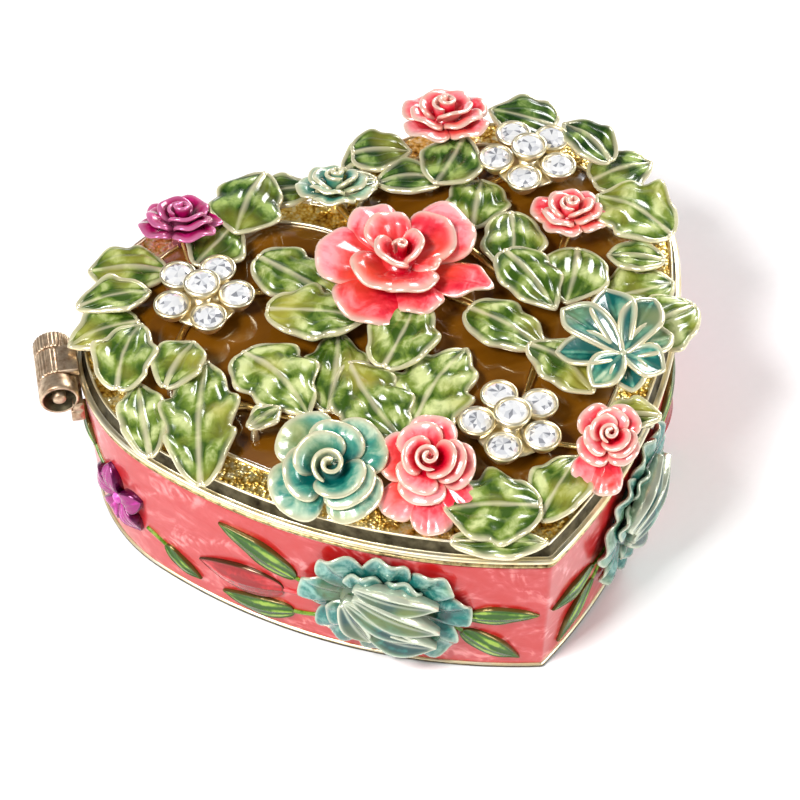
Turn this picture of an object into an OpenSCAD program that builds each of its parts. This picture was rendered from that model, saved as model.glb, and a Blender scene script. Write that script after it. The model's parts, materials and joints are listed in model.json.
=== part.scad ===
// Heart-shaped trinket box: a cast base with an enamelled wall, and a hinged lid whose amber pane
// carries an openwork spray of enamelled roses, leaves and stone-set blossoms. Millimetres, +Z up.
// The origin lies on the resting face, at the middle of the heart's outline. The point faces -Y.

/* [Heart] */
// Width across both lobes at the seam
heart_w = 64; // [52:1:78]
// Height of the base, from the table to the seam
base_h = 18; // [14.5:0.5:23]
// How far the wall leans in between the seam and the table
wall_lean = 0.7; // [0:0.1:1.2]
// Radius that blunts the heart's point
tip_r = 1; // [0.6:0.1:2]

/* [Base casting] */
// Wall thickness of the casting behind the enamel
wall = 1.4; // [1.1:0.1:2]
// Thickness of the floor
floor_t = 1.6; // [1.2:0.1:2.4]
// Thickness of the enamel poured on the wall
enamel_t = 0.5; // [0.3:0.05:0.8]
// Height of the foot bead
foot_h = 1.2; // [0.8:0.1:1.6]
// Height of the bead under the seam
bead_h = 1; // [0.7:0.1:1.4]
// How far the beads and the lid band stand proud of the enamel
bead_proud = 0.35; // [0.2:0.05:0.6]

/* [Lid] */
// Height of the lid's side band
lid_h = 2.2; // [2:0.1:2.8]
// Gap between lid and base at the seam
seam_gap = 0.15; // [0.1:0.05:0.3]
// Width of the flange round the pane
flange_w = 4.2; // [3.8:0.1:5]
// Thickness of the amber pane
pane_t = 0.95; // [0.7:0.05:1.1]
// Width of the ledge that the pane rests on
pane_ledge = 0.9; // [0.6:0.1:1.4]
// Clearance round and above the pane
pane_gap = 0.05; // [0.03:0.01:0.1]
// How far the locating lip reaches into the base
lip_h = 1.2; // [0.8:0.1:1.8]
// Thickness of the locating lip
lip_t = 0.9; // [0.7:0.1:1.1]
// Clearance between the lip and the base wall
lip_gap = 0.35; // [0.25:0.05:0.5]

/* [Hinge] */
// Where the hinge sits on the hinge-side lobe, in degrees up from its outermost point
hinge_angle = 16; // [8:1:24]
// Outer radius of the hinge barrel
barrel_r = 2; // [1.6:0.1:2.4]
// Radius of the hinge pin
pin_r = 0.7; // [0.5:0.05:0.9]
// Radial clearance between pin and knuckles
pin_gap = 0.05; // [0.03:0.01:0.08]
// Length of each of the two outer knuckles
outer_knuckle = 2; // [1.6:0.1:2.8]
// Length of the middle knuckle
middle_knuckle = 3.4; // [2.6:0.1:4.4]
// End gap between knuckles, and between the barrel and the box
knuckle_gap = 0.12; // [0.1:0.02:0.3]
// Thickness of the hinge leaves
leaf_t = 1; // [0.8:0.1:1.2]

/* [Closure] */
// Radius of the closing magnets
magnet_r = 1.5; // [1.2:0.1:1.8]
// Thickness of each magnet
magnet_t = 0.9; // [0.7:0.1:1.1]
// Clearance round and over each magnet
magnet_gap = 0.05; // [0.03:0.01:0.1]
// Wall round each magnet's pocket
magnet_wall = 0.7; // [0.5:0.1:0.9]

/* [Ornament] */
// Thickness of a lid leaf
leaf_blade_t = 0.7; // [0.5:0.05:0.8]
// Gap between one layer of lid leaves and the next
layer_gap = 0.1; // [0.08:0.02:0.2]
// Radius of a stone at its girdle
stone_r = 1.6; // [1.4:0.05:1.7]
// Height of a stone, from culet to table
stone_h = 1.5; // [1.2:0.1:1.8]
// Wall of the cup round each stone
cup_wall = 0.38; // [0.25:0.01:0.45]
// Clearance between a stone and its cup
stone_gap = 0.03; // [0.02:0.01:0.06]
// Gap between the side ornaments and the wall
relief_gap = 0.3; // [0.2:0.05:0.4]

/* [Hidden] */
$fn = 48;

// The heart is drawn in its own frame, with y = 0 on the line between the lobe centres.
lobe_r = heart_w * 0.3;                 // radius of a lobe
lobe_x = heart_w / 2 - lobe_r;          // a lobe's centre, from the middle
side_r = heart_w * 0.94;                // radius of the long side that runs to the point
side_a = -26;                           // angle on the lobe where the long side takes over
side_x = lobe_x + (lobe_r - side_r) * cos(side_a);
side_y = (lobe_r - side_r) * sin(side_a);
function tip_centre(d, t) = side_y - sqrt(pow(side_r + d - t, 2) - side_x * side_x);
tip_y = tip_centre(0, tip_r) - tip_r;   // the point of the heart
centre_y = (lobe_r + tip_y) / 2;        // middle of the outline, which is the part's origin
pattern_w = 64;                         // width of heart that the ornament pattern is drawn for
grow = heart_w / pattern_w;             // the pattern grows with the heart

lobe_n = 34;                            // points on each arc of half a heart
side_n = 14;
tip_n = 4;

// One half of the outline, offset outwards by d, from the cleft down to the point.
function half_heart(d) =
    let (t = max(tip_r + d, 0.2), ty = tip_centre(d, t), cleft_a = acos(-lobe_x / (lobe_r + d)),
         tip_a = atan2(ty - side_y, -side_x))
    concat(
        [for (i = [0 : lobe_n - 1]) let (a = cleft_a + (side_a - cleft_a) * i / lobe_n)
            [i == 0 ? 0 : lobe_x + (lobe_r + d) * cos(a), (lobe_r + d) * sin(a)]],
        [for (i = [0 : side_n - 1]) let (a = side_a + (tip_a - side_a) * i / side_n)
            [side_x + (side_r + d) * cos(a), side_y + (side_r + d) * sin(a)]],
        [for (i = [0 : tip_n]) let (a = tip_a + (-90 - tip_a) * i / tip_n)
            [i == tip_n ? 0 : t * cos(a), ty + t * sin(a)]]);

function heart(d) = let (h = half_heart(d), n = len(h))
    concat(h, [for (i = [n - 2 : -1 : 1]) [-h[i].x, h[i].y]]);

// Heights
function lean(z) = -wall_lean * (1 - z / base_h);  // offset of the leaning wall at height z
lid_z = base_h + seam_gap;                         // underside of the lid band
top_z = lid_z + lid_h;                             // top of the lid band
layer_h = leaf_blade_t + layer_gap;                // from one layer of leaves to the next
function layer_z(n) = top_z + n * layer_h;         // underside of layer n
rose_z = layer_z(3);                               // underside of the lid roses
inner_d = enamel_t + wall;                         // from the enamel face to the inside of the wall
enamel_fit = 0.02;                                 // film between the enamel and the metal that it fills
enamel_crown = 0.1;                                // how far the enamel bulges at half height
pane_d = flange_w + pane_gap;                      // from the outline in to the edge of the pane

// Hinge
barrel_l = 2 * outer_knuckle + middle_knuckle + 2 * knuckle_gap;
axis_d = bead_proud + knuckle_gap + barrel_r;      // from the outline out to the hinge axis
axis_z = base_h + 0.4;                             // height of the hinge axis
leaf_reach = 1.5;                                  // how far a leaf passes the outline before it is cut to it
bridge_t = 1.5 * leaf_t;                           // plate that joins the two outer knuckles
edge_fit = 0.02;                                   // film between a hinge leaf and the beads it is soldered to

// Magnets, on the lobe opposite the hinge
boss_r = magnet_r + magnet_gap + magnet_wall;
boss_h = 4;                                        // from the foot of the base's magnet boss to the seam
boss_drop = 0.03;                                  // how far the boss stays below the seam
boss_d = enamel_t + wall + boss_r - 1;             // from the outline in to the magnet's centre

// Leaves of the lid, at heart_w 64: [stalk x, stalk y, direction, length, width, layer]
hinge_leaves = [
    [-19.2, 11.6, 154, 7, 5, 0], [-22.4, 9, 170, 6.6, 3.6, 1], [-24.6, 6.4, 180, 6.6, 4.2, 0],
    [-25, 4, 231, 7.6, 4.6, 2], [-27.9, -2.6, 254, 8.2, 3.6, 1], [-25.6, -1.6, 246, 10, 2.6, 0],
    [-21.2, -0.3, 220, 5.6, 4, 2], [-21, -3.4, 244, 13.6, 5.4, 1]];
front_leaves = [
    [-19, -8.8, 263, 8.8, 4, 0], [-14.5, -12.2, 103, 9.2, 5.8, 1], [-11.7, -12.4, 60, 9, 4.8, 0],
    [-7.4, -19, 92, 9.8, 5.6, 1], [-5.4, -18.4, 36, 10.6, 6.2, 0], [-6.8, -29.6, -24, 8, 6.4, 1],
    [0.6, -33.6, 36, 7.6, 4.4, 0], [-8, -32.6, -28, 8, 2.6, 0], [-17, -11.5, 195, 3.4, 2, 2]];
centre_leaves = [
    [1.4, -5, 223, 8.6, 5, 2], [-5.2, 0, 119, 9.2, 5, 1], [-4.6, -4.2, 147, 8.8, 5, 2],
    [12.2, 3.4, 54, 6, 5, 0], [12.6, -4.6, 63, 7.6, 4.8, 1], [10.4, -15, 118, 8.2, 4.4, 1],
    [13.6, -11.2, 95, 8.2, 4.4, 2]];
right_leaves = [
    [11.6, -22.6, 108, 7.6, 4.4, 2], [15.8, -10.6, 53, 6.6, 5.4, 1], [18.8, -11.4, -10, 7.6, 5.6, 0],
    [25.4, -0.6, -63, 8, 6.2, 2], [19.6, -18.4, 10, 7, 5.6, 1], [22.8, -7.4, -33, 5, 3.2, 1],
    [12.4, -26, -28, 4.6, 3, 1]];
back_leaves = [
    [-10.4, 12.4, 46, 7.8, 5.6, 2], [-15.8, 10.8, 26, 6, 4.6, 1], [-1.4, 12.4, 0, 6.4, 3, 2],
    [10.4, 15.4, 156, 5.4, 4.4, 1], [6, 12.4, -22, 6, 3.6, 1], [11.2, 9.6, 40, 6.6, 5, 2],
    [21.6, 16.6, -44, 6.4, 5, 1], [26.4, 10.2, -66, 6.4, 4.4, 2], [26.8, 3.6, -4, 6, 5, 0],
    [-6.4, 16.8, -14, 6, 3.4, 0], [4, 16.6, 14, 6, 3.6, 0]];

// Roses of the lid, at heart_w 64: [x, y, diameter, height, turn]
rose_centre = [2.1, -0.6, 16.4, 4.9, 20];
rose_front_teal = [-15.8, -21.2, 10, 3.4, 50];
rose_front_pink = [-7, -24.6, 8.4, 3.4, 10];
rose_hinge_magenta = [-15.4, 15.4, 8.8, 3, 30];
rose_back_pink = [15.6, 16.8, 8.8, 3.6, 0];
rose_back_teal = [0.9, 12.9, 8.2, 3, 60];
rose_right_pink = [21.1, -1.5, 7.2, 2.8, 15];
rose_right_teal = [15.4, -18.8, 9.6, 3.4, 40];
rose_point_pink = [10.3, -29.4, 7.2, 3, 25];
lid_roses = [rose_centre, rose_front_teal, rose_front_pink, rose_hinge_magenta, rose_back_pink,
             rose_back_teal, rose_right_pink, rose_right_teal, rose_point_pink];
pedestal_r = 1.1;                                  // post under each rose
leaf_post_r = 0.4;                                 // post under each raised leaf
leaf_post_at = 0.22;                               // where it stands, as a share of the leaf's length
post_clear = 0.15;                                 // room round a post where it passes a piece
leaf_groups = [hinge_leaves, front_leaves, centre_leaves, right_leaves, back_leaves];

// Stone-set blossoms, at heart_w 64: [x, y, turn]
blossom_left = [-17.4, 5.6, 40];
blossom_front = [2.9, -23.2, 12];
blossom_back = [21.3, 8.3, 18];
lid_blossoms = [blossom_left, blossom_front, blossom_back];
blossom_n = 5;                                     // stones round the middle one
cup_r = stone_r + stone_gap + cup_wall;            // a cup's outer radius, at its brim
seat_h = 0.6 * stone_h;                            // from the culet up to the girdle
cup_floor = 0.5;                                   // metal under the stone's culet
cup_h = cup_floor + seat_h;                        // height of a cup
cup_foot_r = 0.55 * cup_r;                         // a cup's outer radius, at its foot
cup_gap = 0.06;                                    // between two neighbouring cups
ring_r = (cup_r + cup_gap / 2) / sin(180 / blossom_n);
ring_z = layer_z(1) + 0.2;                         // underside of the outer cups
cup_sink = 0.1;                                    // how far the middle cup sinks between the others
middle_z = ring_z + cup_h - cup_sink;              // underside of the middle cup
blossom_post = 1;                                  // post under the middle cup
blossom_plate = 0.35;                              // plate that carries the outer cups

// Vines of the lid, at heart_w 64: runs of points that each stem passes through
vines = [
    [[-24, 0], [-17.4, 5.6], [-9, 4], [2.1, -0.6], [7, -6], [10.4, -15], [15.4, -18.8]],
    [[-17.4, 5.6], [-15.4, 15.4]],
    [[2.1, -0.6], [-2, -6], [-7, -13], [-15.8, -21.2]],
    [[-7, -13], [-14.5, -12.2], [-20, -8], [-24, -12]],
    [[-7, -13], [-3.4, -17], [-7, -24.6], [-9.4, -29]],
    [[-3.4, -17], [2.9, -23.2], [10.3, -29.4], [12, -31]],
    [[2.1, -0.6], [10, 2], [13, 8], [15.6, 16.8]],
    [[13, 8], [21.3, 8.3], [27, 7]],
    [[2.1, -0.6], [0.9, 12.9], [0, 15.4]],
    [[10, 2], [14, -8], [21.1, -1.5], [27, 0]],
    [[14, -8], [19, -11], [24, -14]],
    [[2.9, -23.2], [10.4, -15]]];
vine_w = 0.9;
vine_t = 0.6;

// Ornaments of the wall: [distance along the wall from the point, height as a share of the base]
wall_rose = [16, 0.51];
wall_rose_size = [0.85, 2.4];                      // diameter as a share of the base, relief
back_rose = [76, 0.51];
wall_flower = [46.5, 0.47];
wall_flower_size = [0.5, 1.6];
// [distance, height share, direction, length, width] of each leaf, on both sides of the point
front_wall_leaves = [
    [25, 0.56, 28, 8.6, 3], [25.4, 0.22, -8, 7.6, 2.8],
    [7.6, 0.5, 176, 6.6, 2.4], [8, 0.36, 216, 6.6, 2.6]];
back_wall_leaves = [
    [67.4, 0.6, 150, 7, 3], [67.4, 0.38, 205, 6.6, 3],
    [84.6, 0.6, 30, 7, 3], [84.6, 0.38, -25, 6.6, 3]];
flower_wall_leaves = [[40.6, 0.3, 210, 4.6, 2], [52, 0.62, 30, 4.6, 2]];
wall_buds = [[26.4, 0.4, -4, 9, 3.2]];
wall_leaf_t = 1.1;

// ---------------------------------------------------------------- helpers

// Moves a shape from the heart's own frame to the part's.
module place() translate([0, -centre_y, 0]) children();

// A solid plate in the heart's outline.
module heart_plate(d, z, h) translate([0, 0, z]) linear_extrude(h) polygon(heart(d));

// Two triangles for each step i of n between loop a and loop b.
function band(a, b, n) = [for (i = [0 : n - 1]) let (j = (i + 1) % n)
    each [[a * n + i, a * n + j, b * n + j], [a * n + i, b * n + j, b * n + i]]];

// A ring with a closed profile of [offset, height] points, carried round the heart.
module heart_ring(profile) {
    m = len(profile);
    n = len(heart(0));
    points = [for (p = profile) each [for (q = heart(p[0])) [q.x, q.y, p[1]]]];
    polyhedron(points, [for (k = [0 : m - 1]) each band(k, (k + 1) % m, n)], convexity = 8);
}

// A vessel whose profile runs from the middle of its underside to the middle of its floor.
module heart_vessel(profile) {
    m = len(profile);
    n = len(heart(0));
    points = [for (p = profile) each [for (q = heart(p[0])) [q.x, q.y, p[1]]]];
    polyhedron(points, concat(
        [[for (i = [0 : n - 1]) i]],
        [for (k = [0 : m - 2]) each band(k, k + 1, n)],
        [[for (i = [n - 1 : -1 : 0]) (m - 1) * n + i]]), convexity = 8);
}

// Place and outward direction on the wall, s from the point, for the right side (1) or left (-1).
tip_wall_a = atan2(tip_centre(0, tip_r) - side_y, -side_x);
side_len = side_r * (side_a - tip_wall_a) * PI / 180;
function wall_angle(s) = s < side_len ? tip_wall_a + s / side_r * 180 / PI
                                      : side_a + (s - side_len) / lobe_r * 180 / PI;
function wall_point(s) = let (a = wall_angle(s))
    s < side_len ? [side_x + side_r * cos(a), side_y + side_r * sin(a)]
                 : [lobe_x + lobe_r * cos(a), lobe_r * sin(a)];
lean_a = atan(wall_lean / base_h);

// Stands children on the wall: their x runs away from the point, y up and z outwards.
module on_wall(s, share, side) {
    p = wall_point(s * grow);
    z = share * base_h;
    mirror([side > 0 ? 0 : 1, 0, 0]) translate([p.x, p.y, 0]) rotate(wall_angle(s * grow))
        translate([lean(z) + relief_gap, 0, z]) rotate([90, 0, 90]) rotate([lean_a, 0, 0]) children();
}

// Flat leaf outline from its stalk at the origin to its tip at [len, 0], fullest near the stalk.
blade_n = 9;
function blade_half(len, wid) = [for (i = [0 : blade_n]) let (t = i / blade_n)
    [t * len, max(wid / 2 * pow(sin(180 * pow(t, 0.7)), 0.8), i == blade_n ? 0.05 : 0.35)]];
module blade(len, wid) {
    half = blade_half(len, wid);
    polygon(concat(half, [for (i = [blade_n : -1 : 0]) [half[i].x, -half[i].y]]));
}

// A plate in the outline of five round petals, d across, from z0 up to z1.
petals = 5;
petal_notch = 0.8;                                 // radius between two petals, as a share of the full one
petal_n = 40;                                      // points round the outline
function petal_radius(d, a) = d / 2 * (petal_notch + (1 - petal_notch) * sqrt(abs(cos(a * petals / 2))));
module petal_plate(d, z0, z1) translate([0, 0, z0]) linear_extrude(z1 - z0)
    polygon([for (i = [0 : petal_n - 1]) let (a = i * 360 / petal_n)
        petal_radius(d, a) * [cos(a), sin(a)]]);

// A rose as three tiers of petals round a bud, standing on z = 0. Each tier starts inside the one below.
module rose_body(d, h, turn) rotate(turn) {
    petal_plate(d, 0, h * 0.4);
    rotate(180 / petals) petal_plate(d * 0.74, h * 0.2, h * 0.7);
    petal_plate(d * 0.48, h * 0.5, h * 0.9);
    translate([0, 0, h * 0.8]) cylinder(h * 0.2, r = d * 0.12);
}

module rose_at(r) translate([r[0] * grow, r[1] * grow, rose_z]) rose_body(r[2] * grow, r[3], r[4]);

module lid_rose(r) {
    rose_at(r);
    translate([r[0] * grow, r[1] * grow, top_z]) cylinder(rose_z - top_z, r = pedestal_r);
}

// Room for the posts under roses and blossoms.
module post_holes() {
    for (r = lid_roses) translate([r[0] * grow, r[1] * grow, top_z - 1])
        cylinder(rose_z - top_z + 2, r = pedestal_r + post_clear);
    for (b = lid_blossoms) translate([b[0] * grow, b[1] * grow, top_z - 1]) {
        cylinder(ring_z - top_z + 2, r = blossom_post + post_clear);
        translate([0, 0, ring_z - top_z + 1 - post_clear])
            cylinder(8, r = ring_r + cup_r + post_clear);
    }
}

// Posts under the raised leaves of one group, from the pane or flange up to the leaf.
module leaf_posts(table, clear = 0) for (l = table) if (l[5] > 0)
    translate([l[0] * grow, l[1] * grow, top_z - clear]) rotate(l[2])
        translate([leaf_post_at * l[3] * grow, 0, 0])
            cylinder(l[5] * layer_h + leaf_blade_t / 2 + clear, r = leaf_post_r + clear);

module lid_leaves(group) difference() {
    union() {
        for (l = leaf_groups[group]) translate([l[0] * grow, l[1] * grow, layer_z(l[5])]) rotate(l[2])
            linear_extrude(leaf_blade_t) blade(l[3] * grow, l[4] * grow);
        leaf_posts(leaf_groups[group]);
    }
    for (other = [0 : len(leaf_groups) - 1]) if (other != group)
        leaf_posts(leaf_groups[other], post_clear);
    post_holes();
}

module wall_leaves(table, side) for (l = table) on_wall(l[0], l[1], side)
    rotate(l[2]) linear_extrude(wall_leaf_t) blade(l[3] * grow, l[4] * grow);

// Stands children on the hinge axis: x outwards, y along the axis and z up.
module at_hinge() translate([-lobe_x, 0, 0]) rotate(180 - hinge_angle)
    translate([lobe_r + axis_d, 0, axis_z]) children();

module knuckle(y0, length) translate([0, y0, 0]) rotate([-90, 0, 0]) difference() {
    cylinder(length, r = barrel_r);
    translate([0, 0, -1]) cylinder(length + 2, r = pin_r + pin_gap);
}

// Stands children on the axis of the magnets, on the lobe opposite the hinge.
module at_magnet() translate([lobe_x, 0, 0]) rotate(-hinge_angle) translate([lobe_r - boss_d, 0, 0])
    children();

// ---------------------------------------------------------------- base

module base_shell() color("gold") difference() {
    union() {
        heart_vessel([
            [lean(0), 0], [lean(0) + bead_proud, foot_h * 0.3], [lean(foot_h) + bead_proud, foot_h * 0.8],
            [lean(foot_h) - enamel_t, foot_h], [lean(base_h - bead_h) - enamel_t, base_h - bead_h],
            [bead_proud, base_h - bead_h * 0.8], [bead_proud, base_h],
            [-inner_d, base_h], [lean(floor_t) - inner_d, floor_t]]);
        at_magnet() translate([0, 0, base_h - boss_h]) cylinder(boss_h - boss_drop, r = boss_r);
    }
    at_magnet() translate([0, 0, base_h - magnet_t - 2 * magnet_gap])
        cylinder(magnet_t + 1, r = magnet_r + magnet_gap);
}

module base_enamel() color("salmon") heart_ring([
    [lean(foot_h) - enamel_t + enamel_fit, foot_h + enamel_fit], [lean(foot_h), foot_h + enamel_fit],
    [lean(base_h / 2) + enamel_crown, base_h / 2],
    [lean(base_h - bead_h), base_h - bead_h - enamel_fit],
    [lean(base_h - bead_h) - enamel_t + enamel_fit, base_h - bead_h - enamel_fit]]);

module base_magnet() color("dimgray") at_magnet()
    translate([0, 0, base_h - magnet_t - magnet_gap]) cylinder(magnet_t, r = magnet_r);

module hinge_base_leaf() color("goldenrod") difference() {
    at_hinge() {
        for (y0 = [-barrel_l / 2, barrel_l / 2 - outer_knuckle]) {
            knuckle(y0, outer_knuckle);
            translate([-axis_d - leaf_reach, y0, -barrel_r])
                cube([axis_d + leaf_reach - pin_r - 0.5, outer_knuckle, leaf_t]);
        }
        translate([-axis_d - leaf_reach, -barrel_l / 2, -barrel_r - bridge_t])
            cube([axis_d - barrel_r * 0.5 + leaf_reach, barrel_l, bridge_t]);
    }
    heart_plate(bead_proud + edge_fit, -1, base_h + 1);
}

module hinge_pin() color("goldenrod") at_hinge() rotate([-90, 0, 0])
    translate([0, 0, -barrel_l / 2]) cylinder(barrel_l, r = pin_r);

module side_rose(s, side) color("turquoise") on_wall(s, wall_rose[1], side)
    rose_body(wall_rose_size[0] * base_h, wall_rose_size[1], 18);

module side_flower(side) color("mediumvioletred") on_wall(wall_flower[0], wall_flower[1], side) {
    petal_plate(wall_flower_size[0] * base_h, 0, wall_flower_size[1] * 0.6);
    translate([0, 0, wall_flower_size[1] * 0.3]) cylinder(wall_flower_size[1] * 0.7, r = 1);
}

module side_buds() color("hotpink") for (side = [-1, 1]) wall_leaves(wall_buds, side);

// ---------------------------------------------------------------- lid

module lid_frame() color("gold") difference() {
    union() {
        heart_ring([
            [bead_proud, lid_z], [bead_proud, top_z], [-flange_w, top_z],
            [-flange_w, top_z - pane_t - pane_gap], [-flange_w - pane_ledge, top_z - pane_t - pane_gap],
            [-flange_w - pane_ledge, lid_z + 0.3], [-inner_d - lip_gap - lip_t, lid_z + 0.3],
            [-inner_d - lip_gap - lip_t, base_h - lip_h], [-inner_d - lip_gap, base_h - lip_h],
            [-inner_d - lip_gap, lid_z]]);
        at_magnet() translate([0, 0, lid_z]) cylinder(top_z - pane_t - pane_gap - lid_z, r = boss_r);
    }
    at_magnet() {
        translate([0, 0, lid_z - 1]) cylinder(magnet_t + 2 * magnet_gap + 1, r = magnet_r + magnet_gap);
        translate([0, 0, base_h - lip_h - 1]) cylinder(lip_h + 1 + seam_gap, r = boss_r + lip_gap);
    }
}

module lid_pane() color("saddlebrown") heart_plate(-pane_d, top_z - pane_t - pane_gap / 2, pane_t);

module lid_magnet() color("dimgray") at_magnet()
    translate([0, 0, lid_z + magnet_gap]) cylinder(magnet_t, r = magnet_r);

module hinge_lid_leaf() color("goldenrod") difference() {
    at_hinge() {
        knuckle(-middle_knuckle / 2, middle_knuckle);
        translate([-axis_d - leaf_reach, -middle_knuckle / 2, barrel_r - leaf_t])
            cube([axis_d + leaf_reach, middle_knuckle, leaf_t]);
    }
    heart_plate(bead_proud + edge_fit, base_h - 1, lid_h + 4);
}

// A straight length of vine, with a node a little wider than the stem at each end.
module stem(a, b) {
    for (p = [a, b]) translate([p.x, p.y, 0]) cylinder(vine_t, d = vine_w * 1.2);
    translate([a.x, a.y, 0]) rotate(atan2(b.y - a.y, b.x - a.x)) translate([0, -vine_w / 2, 0])
        cube([norm(b - a), vine_w, vine_t]);
}

module lid_vines() color("gold") difference() {
    translate([0, 0, top_z]) for (v = vines) for (i = [0 : len(v) - 2]) stem(v[i] * grow, v[i + 1] * grow);
    for (table = leaf_groups) {
        for (l = table) if (l[5] == 0) translate([l[0] * grow, l[1] * grow, top_z - 1]) rotate(l[2])
            translate([-post_clear, 0, 0]) linear_extrude(3)
                blade(l[3] * grow + 2 * post_clear, l[4] * grow + 2 * post_clear);
        leaf_posts(table, post_clear);
    }
    post_holes();
}

// Calls its children at the place of each stone of a blossom.
module each_stone(b) translate([b[0] * grow, b[1] * grow, 0]) {
    for (i = [0 : blossom_n - 1]) rotate(b[2] + i * 360 / blossom_n) translate([ring_r, 0, ring_z])
        children();
    translate([0, 0, middle_z]) children();
}

// A cup whose seat follows the stone's pavilion at the named clearance.
module cup() rotate_extrude() polygon([
    [0, 0], [cup_foot_r, 0], [cup_r, cup_h], [stone_r + stone_gap, cup_h], [0, cup_floor]]);

module setting(b) color("khaki") {
    each_stone(b) cup();
    translate([b[0] * grow, b[1] * grow, 0]) {
        translate([0, 0, top_z]) cylinder(middle_z + cup_floor / 2 - top_z, r = blossom_post);
        translate([0, 0, ring_z]) cylinder(blossom_plate, r = ring_r);
    }
}

module stone() rotate_extrude() polygon([
    [0, 0], [stone_r, seat_h], [stone_r, seat_h + 0.12], [stone_r * 0.58, stone_h], [0, stone_h]]);

module stones(b) color("white") each_stone(b) translate([0, 0, cup_floor + stone_gap]) stone();

// ---------------------------------------------------------------- the nodes

place() base_shell();
place() base_enamel();
place() base_magnet();
place() hinge_base_leaf();
place() hinge_pin();
place() side_rose(wall_rose[0], -1);  // side_rose_left
place() side_rose(wall_rose[0], 1);  // side_rose_right
place() side_rose(back_rose[0], -1);  // side_rose_back_left
place() side_rose(back_rose[0], 1);  // side_rose_back_right
place() side_flower(-1);  // side_flower_left
place() side_flower(1);  // side_flower_right
place() color("green") wall_leaves(concat(front_wall_leaves, flower_wall_leaves), -1);  // side_leaves_left
place() color("green") wall_leaves(concat(front_wall_leaves, flower_wall_leaves), 1);  // side_leaves_right
place() color("green") for (side = [-1, 1]) wall_leaves(back_wall_leaves, side);  // side_leaves_back
place() side_buds();
place() lid_frame();
place() lid_pane();
place() lid_vines();
place() lid_magnet();
place() hinge_lid_leaf();
place() color("hotpink") lid_rose(rose_centre);
place() color("turquoise") lid_rose(rose_front_teal);
place() color("hotpink") lid_rose(rose_front_pink);
place() color("mediumvioletred") lid_rose(rose_hinge_magenta);
place() color("hotpink") lid_rose(rose_back_pink);
place() color("turquoise") lid_rose(rose_back_teal);
place() color("hotpink") lid_rose(rose_right_pink);
place() color("turquoise") lid_rose(rose_right_teal);
place() color("hotpink") lid_rose(rose_point_pink);
place() color("green") lid_leaves(0);  // leaves_hinge
place() color("green") lid_leaves(1);  // leaves_front
place() color("green") lid_leaves(2);  // leaves_centre
place() color("green") lid_leaves(3);  // leaves_right
place() color("green") lid_leaves(4);  // leaves_back
place() setting(blossom_left);  // setting_left
place() setting(blossom_front);  // setting_front
place() setting(blossom_back);  // setting_back
place() stones(blossom_left);  // stones_left
place() stones(blossom_front);  // stones_front
place() stones(blossom_back);  // stones_back
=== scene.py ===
# %% [markdown]
# # A heart-shaped trinket box in Blender
# The box is a gold-plated casting. Its wall is filled with coral-pink enamel, and its lid carries roses,
# leaves and stone-set blossoms over an amber pane. The CAD model is the frame: it says where each piece
# is and how large it is. Each cell below builds one kind of piece as a surface worked out with numpy, or
# mixes one finish, and puts it where the frame says.

# %% Load the frame
import json

import bmesh
import bpy
import numpy as np
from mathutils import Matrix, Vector


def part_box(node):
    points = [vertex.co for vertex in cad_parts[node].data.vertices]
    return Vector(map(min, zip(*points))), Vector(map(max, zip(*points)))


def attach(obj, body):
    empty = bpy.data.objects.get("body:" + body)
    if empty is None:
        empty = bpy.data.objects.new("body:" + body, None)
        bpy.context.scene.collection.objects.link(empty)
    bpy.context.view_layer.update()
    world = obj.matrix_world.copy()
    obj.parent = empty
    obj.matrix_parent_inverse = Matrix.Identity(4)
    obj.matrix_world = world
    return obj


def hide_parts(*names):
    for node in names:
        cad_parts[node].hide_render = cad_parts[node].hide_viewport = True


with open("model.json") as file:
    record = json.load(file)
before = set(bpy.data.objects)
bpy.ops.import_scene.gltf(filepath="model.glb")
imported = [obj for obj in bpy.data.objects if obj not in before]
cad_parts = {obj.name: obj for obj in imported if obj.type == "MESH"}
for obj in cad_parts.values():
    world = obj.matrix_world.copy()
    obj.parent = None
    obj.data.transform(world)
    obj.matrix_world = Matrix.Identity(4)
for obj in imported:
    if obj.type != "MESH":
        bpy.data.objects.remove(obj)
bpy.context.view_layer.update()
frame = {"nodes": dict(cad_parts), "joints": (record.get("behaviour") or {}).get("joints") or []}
MM = 0.001


# %% [markdown]
# ## The heart outline
# Half of the heart is three arcs that meet smoothly: a round lobe, a long side, and a small arc at the
# point. Arcs are the simplest curves that give an exact offset, because an offset arc only changes its
# radius. Every rim, wall and pane of the box is this outline moved in or out.

# %% Outline of the heart
def box_mm(node):
    """Lowest and highest corner of a CAD node, in millimetres."""
    low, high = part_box(node)
    return np.array(low) / MM, np.array(high) / MM


BEAD_PROUD = 0.35  # how far the gold beads stand out from the outline
WALL_LEAN = 0.7  # how far the wall leans in at the table
shell_low, shell_high = box_mm("base_shell")
HEART_WIDTH = shell_high[0] - shell_low[0] - 2 * BEAD_PROUD
LOBE_R = 0.3 * HEART_WIDTH
LOBE_X = 0.2 * HEART_WIDTH
SIDE_R = 0.94 * HEART_WIDTH
SIDE_ANGLE = np.radians(-26)
SIDE_X = LOBE_X + (LOBE_R - SIDE_R) * np.cos(SIDE_ANGLE)
SIDE_Y = (LOBE_R - SIDE_R) * np.sin(SIDE_ANGLE)
TIP_R = 1.0
SEAM_Z = shell_high[2]
LID_Z = SEAM_Z + 0.15
TOP_Z = box_mm("lid_pane")[1][2]


def tip_y(offset, radius):
    """Centre of the point's arc, where it touches both long sides from inside."""
    return SIDE_Y - np.sqrt((SIDE_R + offset - radius) ** 2 - SIDE_X**2)


MIDDLE_Y = (LOBE_R + tip_y(0, TIP_R) - TIP_R) / 2


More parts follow.
